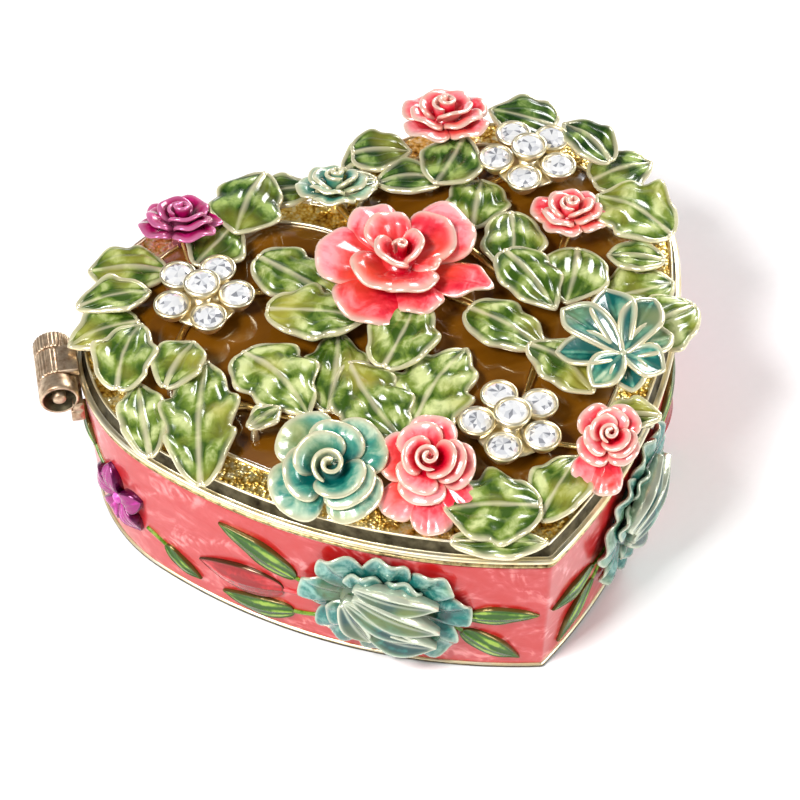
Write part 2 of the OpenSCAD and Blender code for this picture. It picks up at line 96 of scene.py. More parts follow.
def half_heart(offset, lobe_points=80, side_points=60, tip_points=8):
    """Points from the cleft down to the point on the right: each arc is centre + radius * (cos a, sin a)."""
    tip_radius = max(TIP_R + offset, 0.2)
    tip = tip_y(offset, tip_radius)
    cleft = np.arccos(np.clip(-LOBE_X / (LOBE_R + offset), -1, 1))
    point = np.arctan2(tip - SIDE_Y, -SIDE_X)
    a = np.linspace(cleft, SIDE_ANGLE, lobe_points, endpoint=False)
    b = np.linspace(SIDE_ANGLE, point, side_points, endpoint=False)
    c = np.linspace(point, -np.pi / 2, tip_points + 1)
    lobe = np.column_stack([LOBE_X + (LOBE_R + offset) * np.cos(a), (LOBE_R + offset) * np.sin(a)])
    side = np.column_stack([SIDE_X + (SIDE_R + offset) * np.cos(b), SIDE_Y + (SIDE_R + offset) * np.sin(b)])
    end = np.column_stack([tip_radius * np.cos(c), tip + tip_radius * np.sin(c)])
    half = np.vstack([lobe, side, end])
    half[[0, -1], 0] = 0
    return half - [0, MIDDLE_Y]


def heart(offset):
    """The whole outline moved out by offset, as a ring of points that starts at the cleft."""
    half = half_heart(offset)
    return np.vstack([half, half[-2:0:-1] * [-1, 1]])


def ring_at(offset, z):
    """The outline moved out by offset, as a ring of points at height z."""
    flat = heart(offset)
    return np.column_stack([flat, np.full(len(flat), z)])


def lean(z):
    """How far the wall stands inside the outline at height z."""
    return -WALL_LEAN * (1 - np.asarray(z) / SEAM_Z)


print("heart width in mm:", round(float(HEART_WIDTH), 2), "points in a ring:", len(heart(0)))


# %% [markdown]
# ## From arrays to meshes
# A piece is a list of patches. A patch is a grid of points with its faces, and with a few marks on each
# point, such as how near it is to a gilt rim. Marks become attributes that the finishes read. Neighbouring
# points that coincide, at a pole or a seam, are merged, so each piece is closed.

# %% Patches and pieces
# The hollows mark darkens colour, partly as pooled enamel and partly as painted shade; the shade mark sets
# tone and carries painted light on crests.
MARKS = ("rim", "recess", "shade", "under")
MERGE_M = 2e-7  # points nearer than this are one point


def grid_faces(rows, columns, wrap_rows=False, wrap_columns=False):
    """Four indices for each square between neighbouring points of a grid."""
    squares = np.arange(rows - (not wrap_rows)), np.arange(columns - (not wrap_columns))
    r, c = np.meshgrid(*squares, indexing="ij")
    r2, c2 = (r + 1) % rows, (c + 1) % columns
    corners = [r * columns + c, r * columns + c2, r2 * columns + c2, r2 * columns + c]
    return np.stack(corners, -1).reshape(-1, 4)


def patch(points, wrap_rows=False, wrap_columns=False, paint=0, **marks):
    """A grid of points in mm, shaped (rows, columns, 3), with its faces, paint slots and marks.

    paint is one slot for the whole patch, or one for each strip of faces between two rows.
    """
    rows, columns = points.shape[:2]
    faces = grid_faces(rows, columns, wrap_rows, wrap_columns)
    return {
        "points": points.reshape(-1, 3),
        "faces": faces,
        "paint": np.repeat(np.atleast_1d(paint), len(faces) // np.size(paint)),
        "tone": np.zeros(len(faces)),
        "marks": {k: np.broadcast_to(marks.get(k, 0.0), (rows, columns)).reshape(-1) for k in MARKS},
    }


def join(patches):
    """One patch from many, with the face indices moved along."""
    starts = np.cumsum([0] + [len(p["points"]) for p in patches])
    return {
        "points": np.vstack([p["points"] for p in patches]),
        "faces": np.vstack([p["faces"] + s for p, s in zip(patches, starts)]),
        "paint": np.concatenate([p["paint"] for p in patches]),
        "tone": np.concatenate([p["tone"] for p in patches]),
        "marks": {k: np.concatenate([p["marks"][k] for p in patches]) for k in MARKS},
    }


# %% Moving and closing patches
def moved(part, matrix=np.eye(3), shift=(0, 0, 0)):
    """The patch with each point p sent to matrix @ p + shift."""
    return {**part, "points": part["points"] @ np.asarray(matrix).T + np.asarray(shift)}


def turn_z(angle):
    """Rotation by angle about the upright axis."""
    c, s = np.cos(angle), np.sin(angle)
    return np.array([[c, -s, 0], [s, c, 0], [0, 0, 1]])


def turn_x(angle):
    """Rotation by angle about the x axis."""
    c, s = np.cos(angle), np.sin(angle)
    return np.array([[1, 0, 0], [0, c, -s], [0, s, c]])


def faced(above, below, **marks):
    """An upper and a lower sheet that share their border. The lower one faces down."""
    upper, lower = patch(above, **marks), patch(below, **{**marks, "under": 1.0})
    lower["faces"] = lower["faces"][:, ::-1]
    return join([upper, lower])


def shell(mid, thick, **marks):
    """A closed plate: the mid surface moved both ways along its normal by half of thick.

    thick falls to nothing on the grid's border, so the two sides meet there.
    """
    normal = np.cross(np.gradient(mid, axis=0), np.gradient(mid, axis=1))
    normal /= np.linalg.norm(normal, axis=-1, keepdims=True) + 1e-9
    half = normal * np.asarray(thick)[..., None] / 2
    return faced(mid + half, mid - half, **marks)


def solid_relief(top, floor, **marks):
    """A closed body under a surface: the grid gains a border that drops straight down to a flat floor."""
    wide = np.pad(top, ((1, 1), (1, 1), (0, 0)), mode="edge")
    marks = {k: np.pad(np.broadcast_to(m, top.shape[:2]), 1, mode="edge") for k, m in marks.items()}
    border = np.ones(wide.shape[:2], bool)
    border[1:-1, 1:-1] = False
    wide[border, 2] = floor
    base = wide.copy()
    base[..., 2] = floor
    return faced(wide, base, **marks)


# %% From a patch to a Blender object
def piece(name, part, finishes, body, nodes=(), smooth=True):
    """Makes one Blender object from a patch, merges its seams, and lets it ride on a body."""
    mesh = bpy.data.meshes.new(name)
    mesh.from_pydata((part["points"] * MM).tolist(), [], part["faces"].tolist())
    for key, values in part["marks"].items():
        mesh.attributes.new(key, "FLOAT", "POINT").data.foreach_set("value", values.astype(np.float32))
    mesh.attributes.new("tone", "FLOAT", "FACE").data.foreach_set("value", part["tone"].astype(np.float32))
    mesh.polygons.foreach_set("material_index", part["paint"].astype(np.int32))
    work = bmesh.new()
    work.from_mesh(mesh)
    bmesh.ops.remove_doubles(work, verts=work.verts, dist=MERGE_M)
    bmesh.ops.recalc_face_normals(work, faces=work.faces)
    work.to_mesh(mesh)
    work.free()
    mesh.polygons.foreach_set("use_smooth", np.full(len(mesh.polygons), smooth))
    for finish in finishes:
        mesh.materials.append(finish)
    made = bpy.data.objects.new(name, mesh)
    bpy.context.scene.collection.objects.link(made)
    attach(made, body)
    if nodes:
        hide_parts(*nodes)
    open_edges = 2 * len(mesh.edges) - len(mesh.loops)
    print(f"{name}: {len(mesh.polygons)} faces, {open_edges} open edges")
    return made


# %% [markdown]
# ## Finishes
# Everything glossy here is either plated metal or enamel. Plated metal is a metallic shader whose colour
# and roughness wander a little. Enamel is a coloured layer under a clear coat: it is darker in the hollows,
# partly as pooled enamel and partly as painted shade, paler on the crests as painted light, and it stops
# at a gilt rim. The marks on the points say where each is.

# %% Helpers for node trees
def colour(red, green, blue):
    """A display colour from 0 to 255 as the linear values that a shader works in."""
    c = np.array([red, green, blue]) / 255
    linear = np.where(c <= 0.04045, c / 12.92, ((c + 0.055) / 1.055) ** 2.4)
    return (*linear.tolist(), 1.0)


def new_finish(name, **settings):
    """A material with one Principled shader, whose constant values sit on its own sockets."""
    finish = bpy.data.materials.new(name)
    finish.use_nodes = True
    shader = finish.node_tree.nodes["Principled BSDF"]
    for socket, value in settings.items():
        shader.inputs[socket.replace("_", " ")].default_value = value
    finish.diffuse_color = shader.inputs["Base Color"].default_value
    return finish, finish.node_tree, shader


def add(tree, kind, inputs=None, **settings):
    """Adds a node, sets its properties, and links or sets its inputs."""
    node = tree.nodes.new(kind)
    for key, value in settings.items():
        setattr(node, key, value)
    for key, value in (inputs or {}).items():
        if isinstance(value, bpy.types.NodeSocket):
            tree.links.new(value, node.inputs[key])
        else:
            node.inputs[key].default_value = value
    return node


# %% Numbers, marks and noise as nodes
def place_of(tree):
    """The point's place on its piece, in metres."""
    return add(tree, "ShaderNodeTexCoord").outputs["Object"]


def mark(tree, name):
    """One of the marks that were put on the points."""
    return add(tree, "ShaderNodeAttribute", attribute_name=name).outputs["Fac"]


def maths(tree, operation, a, b=0.0, clamp=False):
    """One sum on two numbers or sockets."""
    return add(tree, "ShaderNodeMath", {0: a, 1: b}, operation=operation, use_clamp=clamp).outputs[0]


def noise(tree, size_mm, detail=3.0, distortion=0.0):
    """Smooth noise whose lumps are about size_mm across."""
    inputs = {"Vector": place_of(tree), "Scale": 1000 / size_mm, "Detail": detail, "Distortion": distortion}
    return add(tree, "ShaderNodeTexNoise", inputs).outputs["Fac"]


def drawn_out_noise(tree, scale, detail, distortion, turn=0.0):
    """Noise with scale lumps in a metre along x, y and z, after a turn about z."""
    place = {"Vector": place_of(tree), "Scale": scale, "Rotation": (0, 0, turn)}
    place = add(tree, "ShaderNodeMapping", place).outputs[0]
    inputs = {"Vector": place, "Scale": 1.0, "Detail": detail, "Distortion": distortion}
    return add(tree, "ShaderNodeTexNoise", inputs).outputs["Fac"]


def weighted(tree, *terms, start=0.0, clamp=False):
    """The sum of start and of each socket times its weight, kept within 0 and 1 if clamp is set."""
    total = start
    for k, (socket, weight) in enumerate(terms):
        last = clamp and k == len(terms) - 1
        inputs = {0: socket, 1: weight, 2: total}
        total = add(tree, "ShaderNodeMath", inputs, operation="MULTIPLY_ADD", use_clamp=last).outputs[0]
    return total


def tints(*stops):
    """Stops for a ramp, each written as its place and a display colour, such as (0.5, 255, 0, 0)."""
    return [(at, colour(*display)) for at, *display in stops]


# %% Colours, bump and links as nodes
def ramp(tree, factor, stops):
    """A colour that runs through the stops, each a place from 0 to 1 and a colour."""
    node = add(tree, "ShaderNodeValToRGB", {"Fac": factor})
    elements = node.color_ramp.elements
    while len(elements) < len(stops):
        elements.new(0.5)
    for element, (at, tint) in zip(elements, stops):
        element.position = at
        element.color = tint
    return node.outputs["Color"]


def blend_colours(tree, factor, a, b):
    """Colour a where factor is 0, and b where it is 1."""
    return add(tree, "ShaderNodeMix", {0: factor, 6: a, 7: b}, data_type="RGBA").outputs[2]


def bump(tree, height, distance_mm, strength=1.0):
    """A normal tilted by the slope of height."""
    inputs = {"Height": height, "Distance": distance_mm * MM, "Strength": strength}
    return add(tree, "ShaderNodeBump", inputs).outputs[0]


def link(tree, socket, shader, name):
    """Feeds a socket into one of the shader's inputs."""
    tree.links.new(socket, shader.inputs[name])


# %% Plated metals
def plated_metal(name, tint, worn, roughness, wear_mm=1.5):
    """Plate whose colour wanders between tint and worn, with a faint unevenness in its polish."""
    finish, tree, shader = new_finish(name, Metallic=1.0, Base_Color=colour(*tint))
    wear = noise(tree, wear_mm, 4)
    link(tree, ramp(tree, wear, tints((0.35, *tint), (0.75, *worn))), shader, "Base Color")
    link(tree, weighted(tree, (wear, 0.25), start=roughness), shader, "Roughness")
    link(tree, bump(tree, noise(tree, 0.6, 2), 0.02, 0.5), shader, "Normal")
    return finish


polished_gold = plated_metal("polished_gold", (236, 205, 135), (214, 172, 92), 0.12)
bright_bead = plated_metal("bright_bead", (252, 244, 218), (240, 218, 160), 0.22, 2.5)
# Gold painted dark where there is shade or a dark reflection: the foot's contact shadow, the lines by the
# wall and seam, the lid's sloping band and the hinge's bore.
painted_shade_gold = plated_metal("painted_shade_gold", (104, 96, 74), (34, 27, 16), 0.34, 1.2)
inner_gold = plated_metal("inner_gold", (222, 184, 106), (190, 146, 74), 0.30, 4)
antique_gold = plated_metal("antique_gold", (232, 208, 178), (150, 116, 88), 0.3, 0.7)
streaked_gold = plated_metal("streaked_gold", (222, 200, 144), (76, 56, 26), 0.3, 0.5)
nickel = plated_metal("nickel", (205, 205, 208), (170, 170, 176), 0.2)


# %% Hammered bed
def granulated_gold():
    """Hammered gold bed: fine grains over soft lumps, with painted shade in hollows and painted highlights on
    crests.
    """
    finish, tree, shader = new_finish("granulated_gold", Metallic=1.0, Roughness=0.3)
    inputs = {"Vector": place_of(tree), "Scale": 2600.0, "Randomness": 1.0}
    grains = add(tree, "ShaderNodeTexVoronoi", inputs).outputs["Distance"]
    # One height drives both colour and bump: brown where low as painted shade, cream where high as painted
    # highlight.
    level = weighted(tree, (noise(tree, 1.6, 5, 0.8), 1.6), (grains, -0.5))
    stops = tints((0.20, 120, 78, 18), (0.42, 206, 160, 66), (0.62, 242, 216, 130), (0.85, 255, 246, 210))
    link(tree, ramp(tree, level, stops), shader, "Base Color")
    link(tree, bump(tree, level, 0.22, 0.9), shader, "Normal")
    return finish


bed_gold = granulated_gold()


# %% Enamels
GILT = (244, 234, 196)


def enamel(name, deep, body, pale, swirl_mm, gilt=GILT, shade_weight=0.35, glow=None, coat=0.6):
    """Coloured enamel under a clear coat, from deep in hollows to pale on crests, with gilt rims.

    The hollows are darker partly as pooled enamel and partly as painted shade; the crests are paler as
    painted light.
    """
    finish, tree, shader = new_finish(
        name, Roughness=0.25, Coat_Weight=coat, Coat_Roughness=0.05, Specular_IOR_Level=0.5
    )
    swirl, fine = noise(tree, swirl_mm, 3, 1.6), noise(tree, swirl_mm / 4, 2, 0.6)
    shade, recess = mark(tree, "shade"), mark(tree, "recess")
    # shade brings each piece's tone and painted light on crests; the hollows mark takes colour away as pooled
    # enamel and painted shade.
    level = weighted(tree, (swirl, 1.1), (fine, 0.35), (shade, shade_weight), (recess, -0.8), start=-0.38)
    tint = ramp(tree, level, tints((0.10, *deep), (0.42, *body), (0.82, *pale)))
    if glow:
        patches = weighted(tree, (noise(tree, 2.2 * swirl_mm, 1), 4.0), start=-2.0, clamp=True)
        tint = blend_colours(tree, maths(tree, "MULTIPLY", patches, 0.7), tint, colour(*glow))
    under = maths(tree, "MULTIPLY", mark(tree, "under"), 0.8)
    gild = maths(tree, "MAXIMUM", mark(tree, "rim"), under, clamp=True)
    link(tree, blend_colours(tree, gild, tint, colour(*gilt)), shader, "Base Color")
    link(tree, maths(tree, "MULTIPLY", gild, 0.55), shader, "Metallic")
    link(tree, bump(tree, swirl, 0.10, 0.6), shader, "Normal")
    return finish


leaf_enamel = enamel("leaf_enamel", (50, 78, 14), (108, 130, 50), (198, 206, 142), 2.4, glow=(168, 158, 62))
dark_leaf_enamel = enamel(
    "dark_leaf_enamel", (22, 52, 8), (66, 96, 30), (154, 174, 98), 2.2, glow=(124, 122, 40)
)
wall_leaf_enamel = enamel(
    "wall_leaf_enamel", (40, 84, 0), (70, 114, 6), (150, 182, 62), 1.6, gilt=(104, 88, 38), coat=0.1
)
pink_rose_enamel = enamel(
    "pink_rose_enamel", (190, 0, 34), (228, 52, 68), (248, 154, 160), 3.4,
    glow=(236, 84, 52), gilt=(255, 226, 206),
)
bud_enamel = enamel(
    "bud_enamel", (150, 12, 16), (196, 36, 40), (222, 110, 112), 2.5, gilt=(84, 56, 30), coat=0.2
)
teal_rose_enamel = enamel(
    "teal_rose_enamel", (0, 86, 80), (56, 136, 118), (184, 206, 178), 2.8, glow=(148, 148, 76), shade_weight=0.28
)
wall_teal_enamel = enamel(
    "wall_teal_enamel", (0, 66, 64), (30, 116, 108), (150, 196, 182), 2.0,
    glow=(116, 130, 50), gilt=(214, 220, 196), shade_weight=0.16,
)
magenta_enamel = enamel(
    "magenta_enamel", (96, 0, 48), (164, 0, 84), (214, 50, 140), 2.6, gilt=(226, 130, 176), shade_weight=0.12
)
plum_enamel = enamel(
    "plum_enamel", (150, 0, 110), (182, 6, 140), (228, 110, 206), 1.6, gilt=(96, 10, 70), shade_weight=0.15, coat=0.3
)


# %% Wall, pane and stones
def wall_enamel():
    """Coral-pink enamel with pearly brush strokes: warped noise under wavy bands that fade in and out."""
    finish, tree, shader = new_finish("wall_enamel", Roughness=0.3, Coat_Weight=0.5, Coat_Roughness=0.08)
    swirl, streaks = drawn_out_noise(tree, (130.0, 130.0, 200.0), 3.0, 3.2), noise(tree, 3.2, 2, 3.0)
    inputs = {"Vector": place_of(tree), "Scale": 110.0, "Distortion": 9.0, "Detail": 2.0, "Detail Scale": 0.8}
    brush = add(tree, "ShaderNodeTexWave", inputs, bands_direction="DIAGONAL").outputs["Fac"]
    fade = maths(tree, "SUBTRACT", streaks, 0.35, clamp=True)
    strokes = maths(tree, "MULTIPLY", maths(tree, "POWER", brush, 5.0), fade)
    level = weighted(tree, (swirl, 0.7), (streaks, 0.3), (strokes, 0.7))
    stops = tints((0.36, 196, 12, 10), (0.47, 198, 32, 32), (0.58, 204, 54, 56), (0.78, 236, 136, 134))
    link(tree, ramp(tree, level, stops), shader, "Base Color")
    link(tree, bump(tree, swirl, 0.06, 0.6), shader, "Normal")
    return finish


def amber():
    """Glossy amber-brown with faint lighter streaks that lie across the box: painted reflections."""
    finish, tree, shader = new_finish("amber", Roughness=0.12, Coat_Weight=1.0, Coat_Roughness=0.03)
    streaks = drawn_out_noise(tree, (50.0, 260.0, 60.0), 4.0, 0.8, turn=0.5)
    stops = tints((0.30, 94, 54, 2), (0.52, 110, 66, 6), (0.75, 134, 86, 22))
    link(tree, ramp(tree, streaks, stops), shader, "Base Color")
    return finish


def foiled_stone():
    """Foiled clear stone under a hard clear coat: bright facets and a few grey ones, painted as sparkle and
    reflection.
    """
    finish, tree, shader = new_finish(
        "foiled_stone", Roughness=0.04, Metallic=0.35, Coat_Weight=1.0, Coat_Roughness=0.01
    )
    stops = tints((0.0, 120, 122, 130), (0.3, 204, 206, 212), (0.55, 246, 247, 250), (1.0, 255, 255, 255))
    link(tree, ramp(tree, mark(tree, "tone"), stops), shader, "Base Color")
    return finish


pink_wall = wall_enamel()
amber_pane = amber()
stone_glass = foiled_stone()
print("finishes:", len(bpy.data.materials))


# %% [markdown]
# ## The castings
# The base, the enamel and the lid's frame are each one cross-section carried round the heart. A profile is
# a list of offsets and heights, and each of its points draws one ring. The base's profile starts and ends
# at the middle, where rings that shrink to a point close its underside and its floor.

# %% Sweep round the heart
def sweep(profile, paint=0):
    """A closed profile of (offset, height) points carried round the heart, one ring for each point."""
    return patch(np.stack([ring_at(*at) for at in profile]), wrap_rows=True, wrap_columns=True, paint=paint)


def disc_rings(offset, z, shares):
    """Rings of the outline shrunk towards the middle by each share, at height z."""
    ring = ring_at(offset, z)
    centre = np.array([0, 1.0, z])
    return [centre + (ring - centre) * k for k in shares]


def arc(centre, radius, start, end, count):
    """Points on an arc in the profile's plane, angles in degrees."""
    a = np.radians(np.linspace(start, end, count))
    return [(centre[0] + radius * np.cos(t), centre[1] + radius * np.sin(t)) for t in a]


# %% Base casting
FOOT_H, RIM_H, FLOOR_T, INNER = 0.62, 0.78, 1.6, 1.9
ENAMEL_T = 0.5
low, high = FOOT_H, SEAM_Z - RIM_H
foot = arc((lean(0.3) - 0.12, 0.30), 0.30, -90, 80, 10)
rim = [(-0.20, SEAM_Z - 0.74), (-0.18, SEAM_Z - 0.56)]
rim += arc((-0.06, SEAM_Z - 0.33), 0.22, -80, 80, 10) + [(-0.16, SEAM_Z - 0.06), (-0.3, SEAM_Z)]
profile = foot + [(lean(low) - ENAMEL_T, low), (lean(high) - ENAMEL_T, high)] + rim
inner_foot = lean(FLOOR_T) - INNER
profile += [(-INNER + 0.15, SEAM_Z), (-INNER, SEAM_Z - 0.15), (-INNER + lean(9), 9.0), (inner_foot, 2.4)]
profile += arc((inner_foot - 0.8, 2.4), 0.8, 0, -90, 6)[1:]
rings = disc_rings(*foot[0], np.linspace(0, 1, 6)[:-1]) + [ring_at(*at) for at in profile]
rings += disc_rings(*profile[-1], np.linspace(1, 0, 8)[1:])
# Finish of the strips between rings, as (paint, strips): underside, foot painted dark as a contact shadow,
# bead, painted shade line under the wall, ribbed rim, painted shade line at the seam, rim's top. What is left
# is the inside.
runs = [(0, 5), (2, 6), (0, 3), (2, 4), (3, 10), (2, 2), (0, 1)]
strips = np.repeat(*np.transpose(runs))
strips = np.pad(strips, (0, len(rings) - 1 - len(strips)), constant_values=1)
casting = patch(np.stack(rings), wrap_columns=True, paint=strips)
boss_low, boss_high = box_mm("base_magnet")
boss_at = (boss_low + boss_high) / 2


def lathe(profile, turns=48, paint=0, centre=(0, 0, 0), **marks):
    """A profile of (radius, height) points spun about the upright axis."""
    a = np.linspace(0, 2 * np.pi, turns, endpoint=False)
    r, z = np.array(profile, float).T
    points = np.stack([np.outer(r, np.cos(a)), np.outer(r, np.sin(a)), np.repeat(z[:, None], turns, 1)], -1)
    return patch(points + np.asarray(centre), wrap_columns=True, paint=paint, **marks)


POCKET_R = (boss_high[0] - boss_low[0]) / 2 + 0.05
BOSS_R, BOSS_LOW, BOSS_TOP, POCKET_Z = 2.25, 14.0, 17.96, 16.9
boss_profile = [(0, BOSS_LOW), (BOSS_R - 0.15, BOSS_LOW), (BOSS_R, BOSS_LOW + 0.2), (BOSS_R, BOSS_TOP - 0.06)]
boss_profile += [(BOSS_R - 0.05, BOSS_TOP), (POCKET_R, BOSS_TOP), (POCKET_R, POCKET_Z), (0, POCKET_Z)]
boss = lathe(boss_profile, centre=(boss_at[0], boss_at[1], 0), paint=1)
base_finishes = [bright_bead, inner_gold, painted_shade_gold, streaked_gold]
piece("base_casting", join([casting, boss]), base_finishes, "base", ["base_shell"])

# %% Enamel on the wall
across = 0.5 - 0.5 * np.cos(np.linspace(0, np.pi, 26))
heights = low + 0.02 + (high - low - 0.04) * across
pillow = 0.12 * np.sin(np.pi * across) ** 0.5 - 0.06
outer = list(zip(lean(heights) + pillow, heights))
backing = [(lean(high) - ENAMEL_T + 0.02, high - 0.02), (lean(low) - ENAMEL_T + 0.02, low + 0.02)]
piece("wall_enamel_skin", sweep(outer + backing), [pink_wall], "base", ["base_enamel"])

# %% [markdown]
# ## The lid's frame and pane
# From outside in, the frame is a bright bead over the seam, a band that slopes up and is painted dark as a
# reflection of dark surroundings, a second and thinner bead, the granulated bed, and a raised lip that holds
# the amber pane. The seam under the bead is painted dark as shade. Rings close together give the beads their
# round highlights.

# %% Lid frame
FLANGE, LEDGE = 4.2, 0.9
PANE_T = TOP_Z - box_mm("lid_pane")[0][2]
LIP_OUT, LIP_IN, LIP_Z = 2.25, 3.15, SEAM_Z - 1.2
seam = [(-0.5, LID_Z), (-0.02, LID_Z + 0.02)]
band = arc((0.0, LID_Z + 0.37), 0.35, -80, 105, 12)
groove = [(-0.24, LID_Z + 0.76), (-0.33, LID_Z + 0.84), (-0.42, LID_Z + 1.1), (-0.52, LID_Z + 1.45)]
groove += [(-0.60, TOP_Z - 0.2)]
top_bead = arc((-0.74, TOP_Z - 0.10), 0.14, -20, 170, 8)
bed = [(d, TOP_Z - 0.16 + 0.04 * np.sin(k)) for k, d in enumerate(np.linspace(-0.94, -FLANGE + 0.45, 10))]
lip = arc((-FLANGE + 0.22, TOP_Z - 0.05), 0.22, 0, 180, 8)
ledge_x, ledge_z = -FLANGE - LEDGE, TOP_Z - PANE_T - 0.05
under = [(-FLANGE, ledge_z), (ledge_x, ledge_z), (ledge_x, LID_Z + 0.3)]
under += [(-LIP_IN, LID_Z + 0.3), (-LIP_IN, LIP_Z + 0.1), (-LIP_IN + 0.1, LIP_Z)]
under += [(-LIP_OUT - 0.1, LIP_Z), (-LIP_OUT, LIP_Z + 0.1), (-LIP_OUT, LID_Z)]
# Paint 1 is gold painted dark: shade in the seam, and a dark reflection on the sloping band.
parts = [(seam, 1), (band, 0), (groove, 1), (top_bead, 0), (bed, 2), (lip, 0), (under, 3)]
lid_strips = np.concatenate([np.full(len(points), paint) for points, paint in parts])
lid_profile = sum([points for points, _ in parts], [])
lid_finishes = [bright_bead, painted_shade_gold, bed_gold, inner_gold]
piece("lid_surround", sweep(lid_profile, lid_strips), lid_finishes, "lid", ["lid_frame"])

# %% Amber pane
edge = -FLANGE - 0.05
pane_rings = disc_rings(edge, TOP_Z - PANE_T, np.linspace(0, 1, 5))
pane_rings += disc_rings(edge, TOP_Z - 0.08, [1.0]) + disc_rings(edge - 0.1, TOP_Z, np.linspace(1, 0, 8))
piece("amber_pane", patch(np.stack(pane_rings), wrap_columns=True), [amber_pane], "lid", ["lid_pane"])


# %% [markdown]
# ## Leaves
# A leaf is a surface over its length and its width. Its edge swells and scallops, its two halves rise from
# a raised midrib, and its border is a thicker gilt bead. The frame's flat leaves say where each leaf lies:
# the long axis of each solid gives the direction, and its wider end is the stalk.

# %% Leaf surface
def leaf(
    length, width, lobes=3.0, full=0.75, ruffle=0.14, arch=0.5, fold=0.4, curl=0.4, bend=0.0, phase=0.0,
    shade=0.5, rim=0.36, relief=None, rib_gilt=0.8, streak=0.0, pleat=0.0, rows=56, columns=35,
):
    """A leaf along x from its stalk. Half width: w/2 * sin(pi u^full)^(0.45 + 0.4 u), swelling at lobes.

    A fold runs out to each lobe, so ridge = cos(2 pi (lobes (u - |v|/4) + phase)) drives the outline, the
    ripple of the surface and the colour: the valleys are darker, partly as pooled enamel and partly as
    painted shade, and the crests are paler as painted light. Height: an arch along u, halves lifted by
    fold, lips turned down by curl, the ripple, fine pleats, and a raised midrib. With relief set, the leaf
    is solid down to that height; otherwise it is a thin plate.
    """
    u = 0.5 - 0.5 * np.cos(np.linspace(0, np.pi, rows))[:, None]
    v = np.sin(np.linspace(-np.pi / 2, np.pi / 2, columns))[None, :]
    out, taper = np.abs(v), np.sin(np.pi * u)
    edge_ridge = np.cos(2 * np.pi * (lobes * (u - 0.25) + phase + 0.1 * np.sign(v)))
    ridge = np.cos(2 * np.pi * (lobes * (u - 0.25 * out) + phase + 0.1 * np.sign(v)))
    half = width / 2 * np.maximum(np.sin(np.pi * u**full), 0) ** (0.45 + 0.4 * u)
    half = half * (1 + ruffle * edge_ridge * taper)
    x = length * (u + 0.05 * (out - 0.5) * taper * edge_ridge)
    y = half * v + bend * length * taper
    depth = np.minimum(length, 2 * width) / 8
    swell = ridge * out**0.8 * taper
    z = depth * (arch * taper + fold * out**1.3 * taper - curl * v**4 * taper)
    pleats = pleat * np.cos(5 * np.pi * out + 3 * u + 6 * phase) * taper * (1 - out**6)
    rib = np.exp(-((half * v / 0.17) ** 2)) * (1 - 0.7 * u)
    z = z + 1.8 * ruffle * depth * swell + pleats + 0.17 * rib
    to_edge = np.minimum((1 - out) * half, 2 * np.minimum(u, 1 - u) * length)
    bead = np.exp(-((to_edge / rim) ** 2))
    z = z + 0.10 * np.sin(np.pi * np.clip(to_edge / (1.6 * rim), 0, 1))
    beside_rim = np.exp(-(((to_edge - 1.9 * rim) / (0.8 * rim)) ** 2))
    beside_rib = np.exp(-(((half * out - 0.42) / 0.22) ** 2))
    # The hollows mark darkens fold valleys and the grooves by rim and rib, partly pooled enamel and partly
    # painted shade; 0.35 * ridge in shade is painted light on the crests.
    marks = {
        "rim": np.clip(1.15 * bead + rib_gilt * rib, 0, 1),
        "recess": 0.38 * (0.5 - 0.5 * ridge) + 0.4 * (beside_rim + beside_rib),
        "shade": shade + 0.35 * ridge + streak * np.cos(3 * np.pi * out + 2 * u),
    }
    points = np.stack(np.broadcast_arrays(x, y, z), -1)
    if relief is not None:
        return solid_relief(points, relief, **marks)
    thick = 0.5 * (1 - np.clip(1 - to_edge / 0.3, 0, 1) ** 2) ** 0.5 * (1 + 0.35 * bead)
    return shell(points, thick, **marks)


# %% Read the leaves' places from the frame
def solids(node):
    """The separate solids of a CAD node, each as its points in mm: triangles that share points are joined."""
    mesh = frame["nodes"][node].data
    points = np.empty(len(mesh.vertices) * 3)
    mesh.vertices.foreach_get("co", points)
    points = points.reshape(-1, 3) / MM
    corners = np.array([list(p.vertices) for p in mesh.polygons])
    _, same = np.unique(np.round(points, 3), axis=0, return_inverse=True)
    same = same.reshape(-1)
    label = np.arange(same.max() + 1)
    triangles = same[corners]
    while True:
        least = label[triangles].min(1)
        fresh = label.copy()
        np.minimum.at(fresh, triangles.reshape(-1), np.repeat(least, 3))
        fresh = fresh[fresh]
        if (fresh == label).all():
            break
        label = fresh
    point_label = label[same]
    return [points[point_label == k] for k in np.unique(point_label)]


def facing(heading):
    """A step of length 1 in the plane, at an angle from x in radians."""
    return np.array([np.cos(heading), np.sin(heading)])


def blade_place(points, depth=0.75):
    """Stalk, direction, length, width and height of a flat leaf, from the points of its upper face."""
    top = points[:, 2].max()
    flat = points[points[:, 2] > top - depth, :2]
    spread = flat - flat.mean(0)
    axis = np.linalg.svd(spread, full_matrices=False)[2][0]
    along, across = spread @ axis, spread @ np.array([-axis[1], axis[0]])
    if across[along < np.median(along)].std() < across[along > np.median(along)].std():
        axis, along = -axis, -along
    side = np.array([-axis[1], axis[0]])
    across = flat @ side
    stalk = axis * (flat @ axis).min() + side * (across.max() + across.min()) / 2
    return stalk, np.arctan2(axis[1], axis[0]), np.ptp(along), np.ptp(across), top


# %% Sprays of leaves
LONGER, WIDER = 1.16, 1.36  # how far an enamelled leaf overhangs the frame's flat one
LEAF_DROP, POST_TOP = 0.35, 0.3  # how far the leaf and its post end under the flat leaf's top


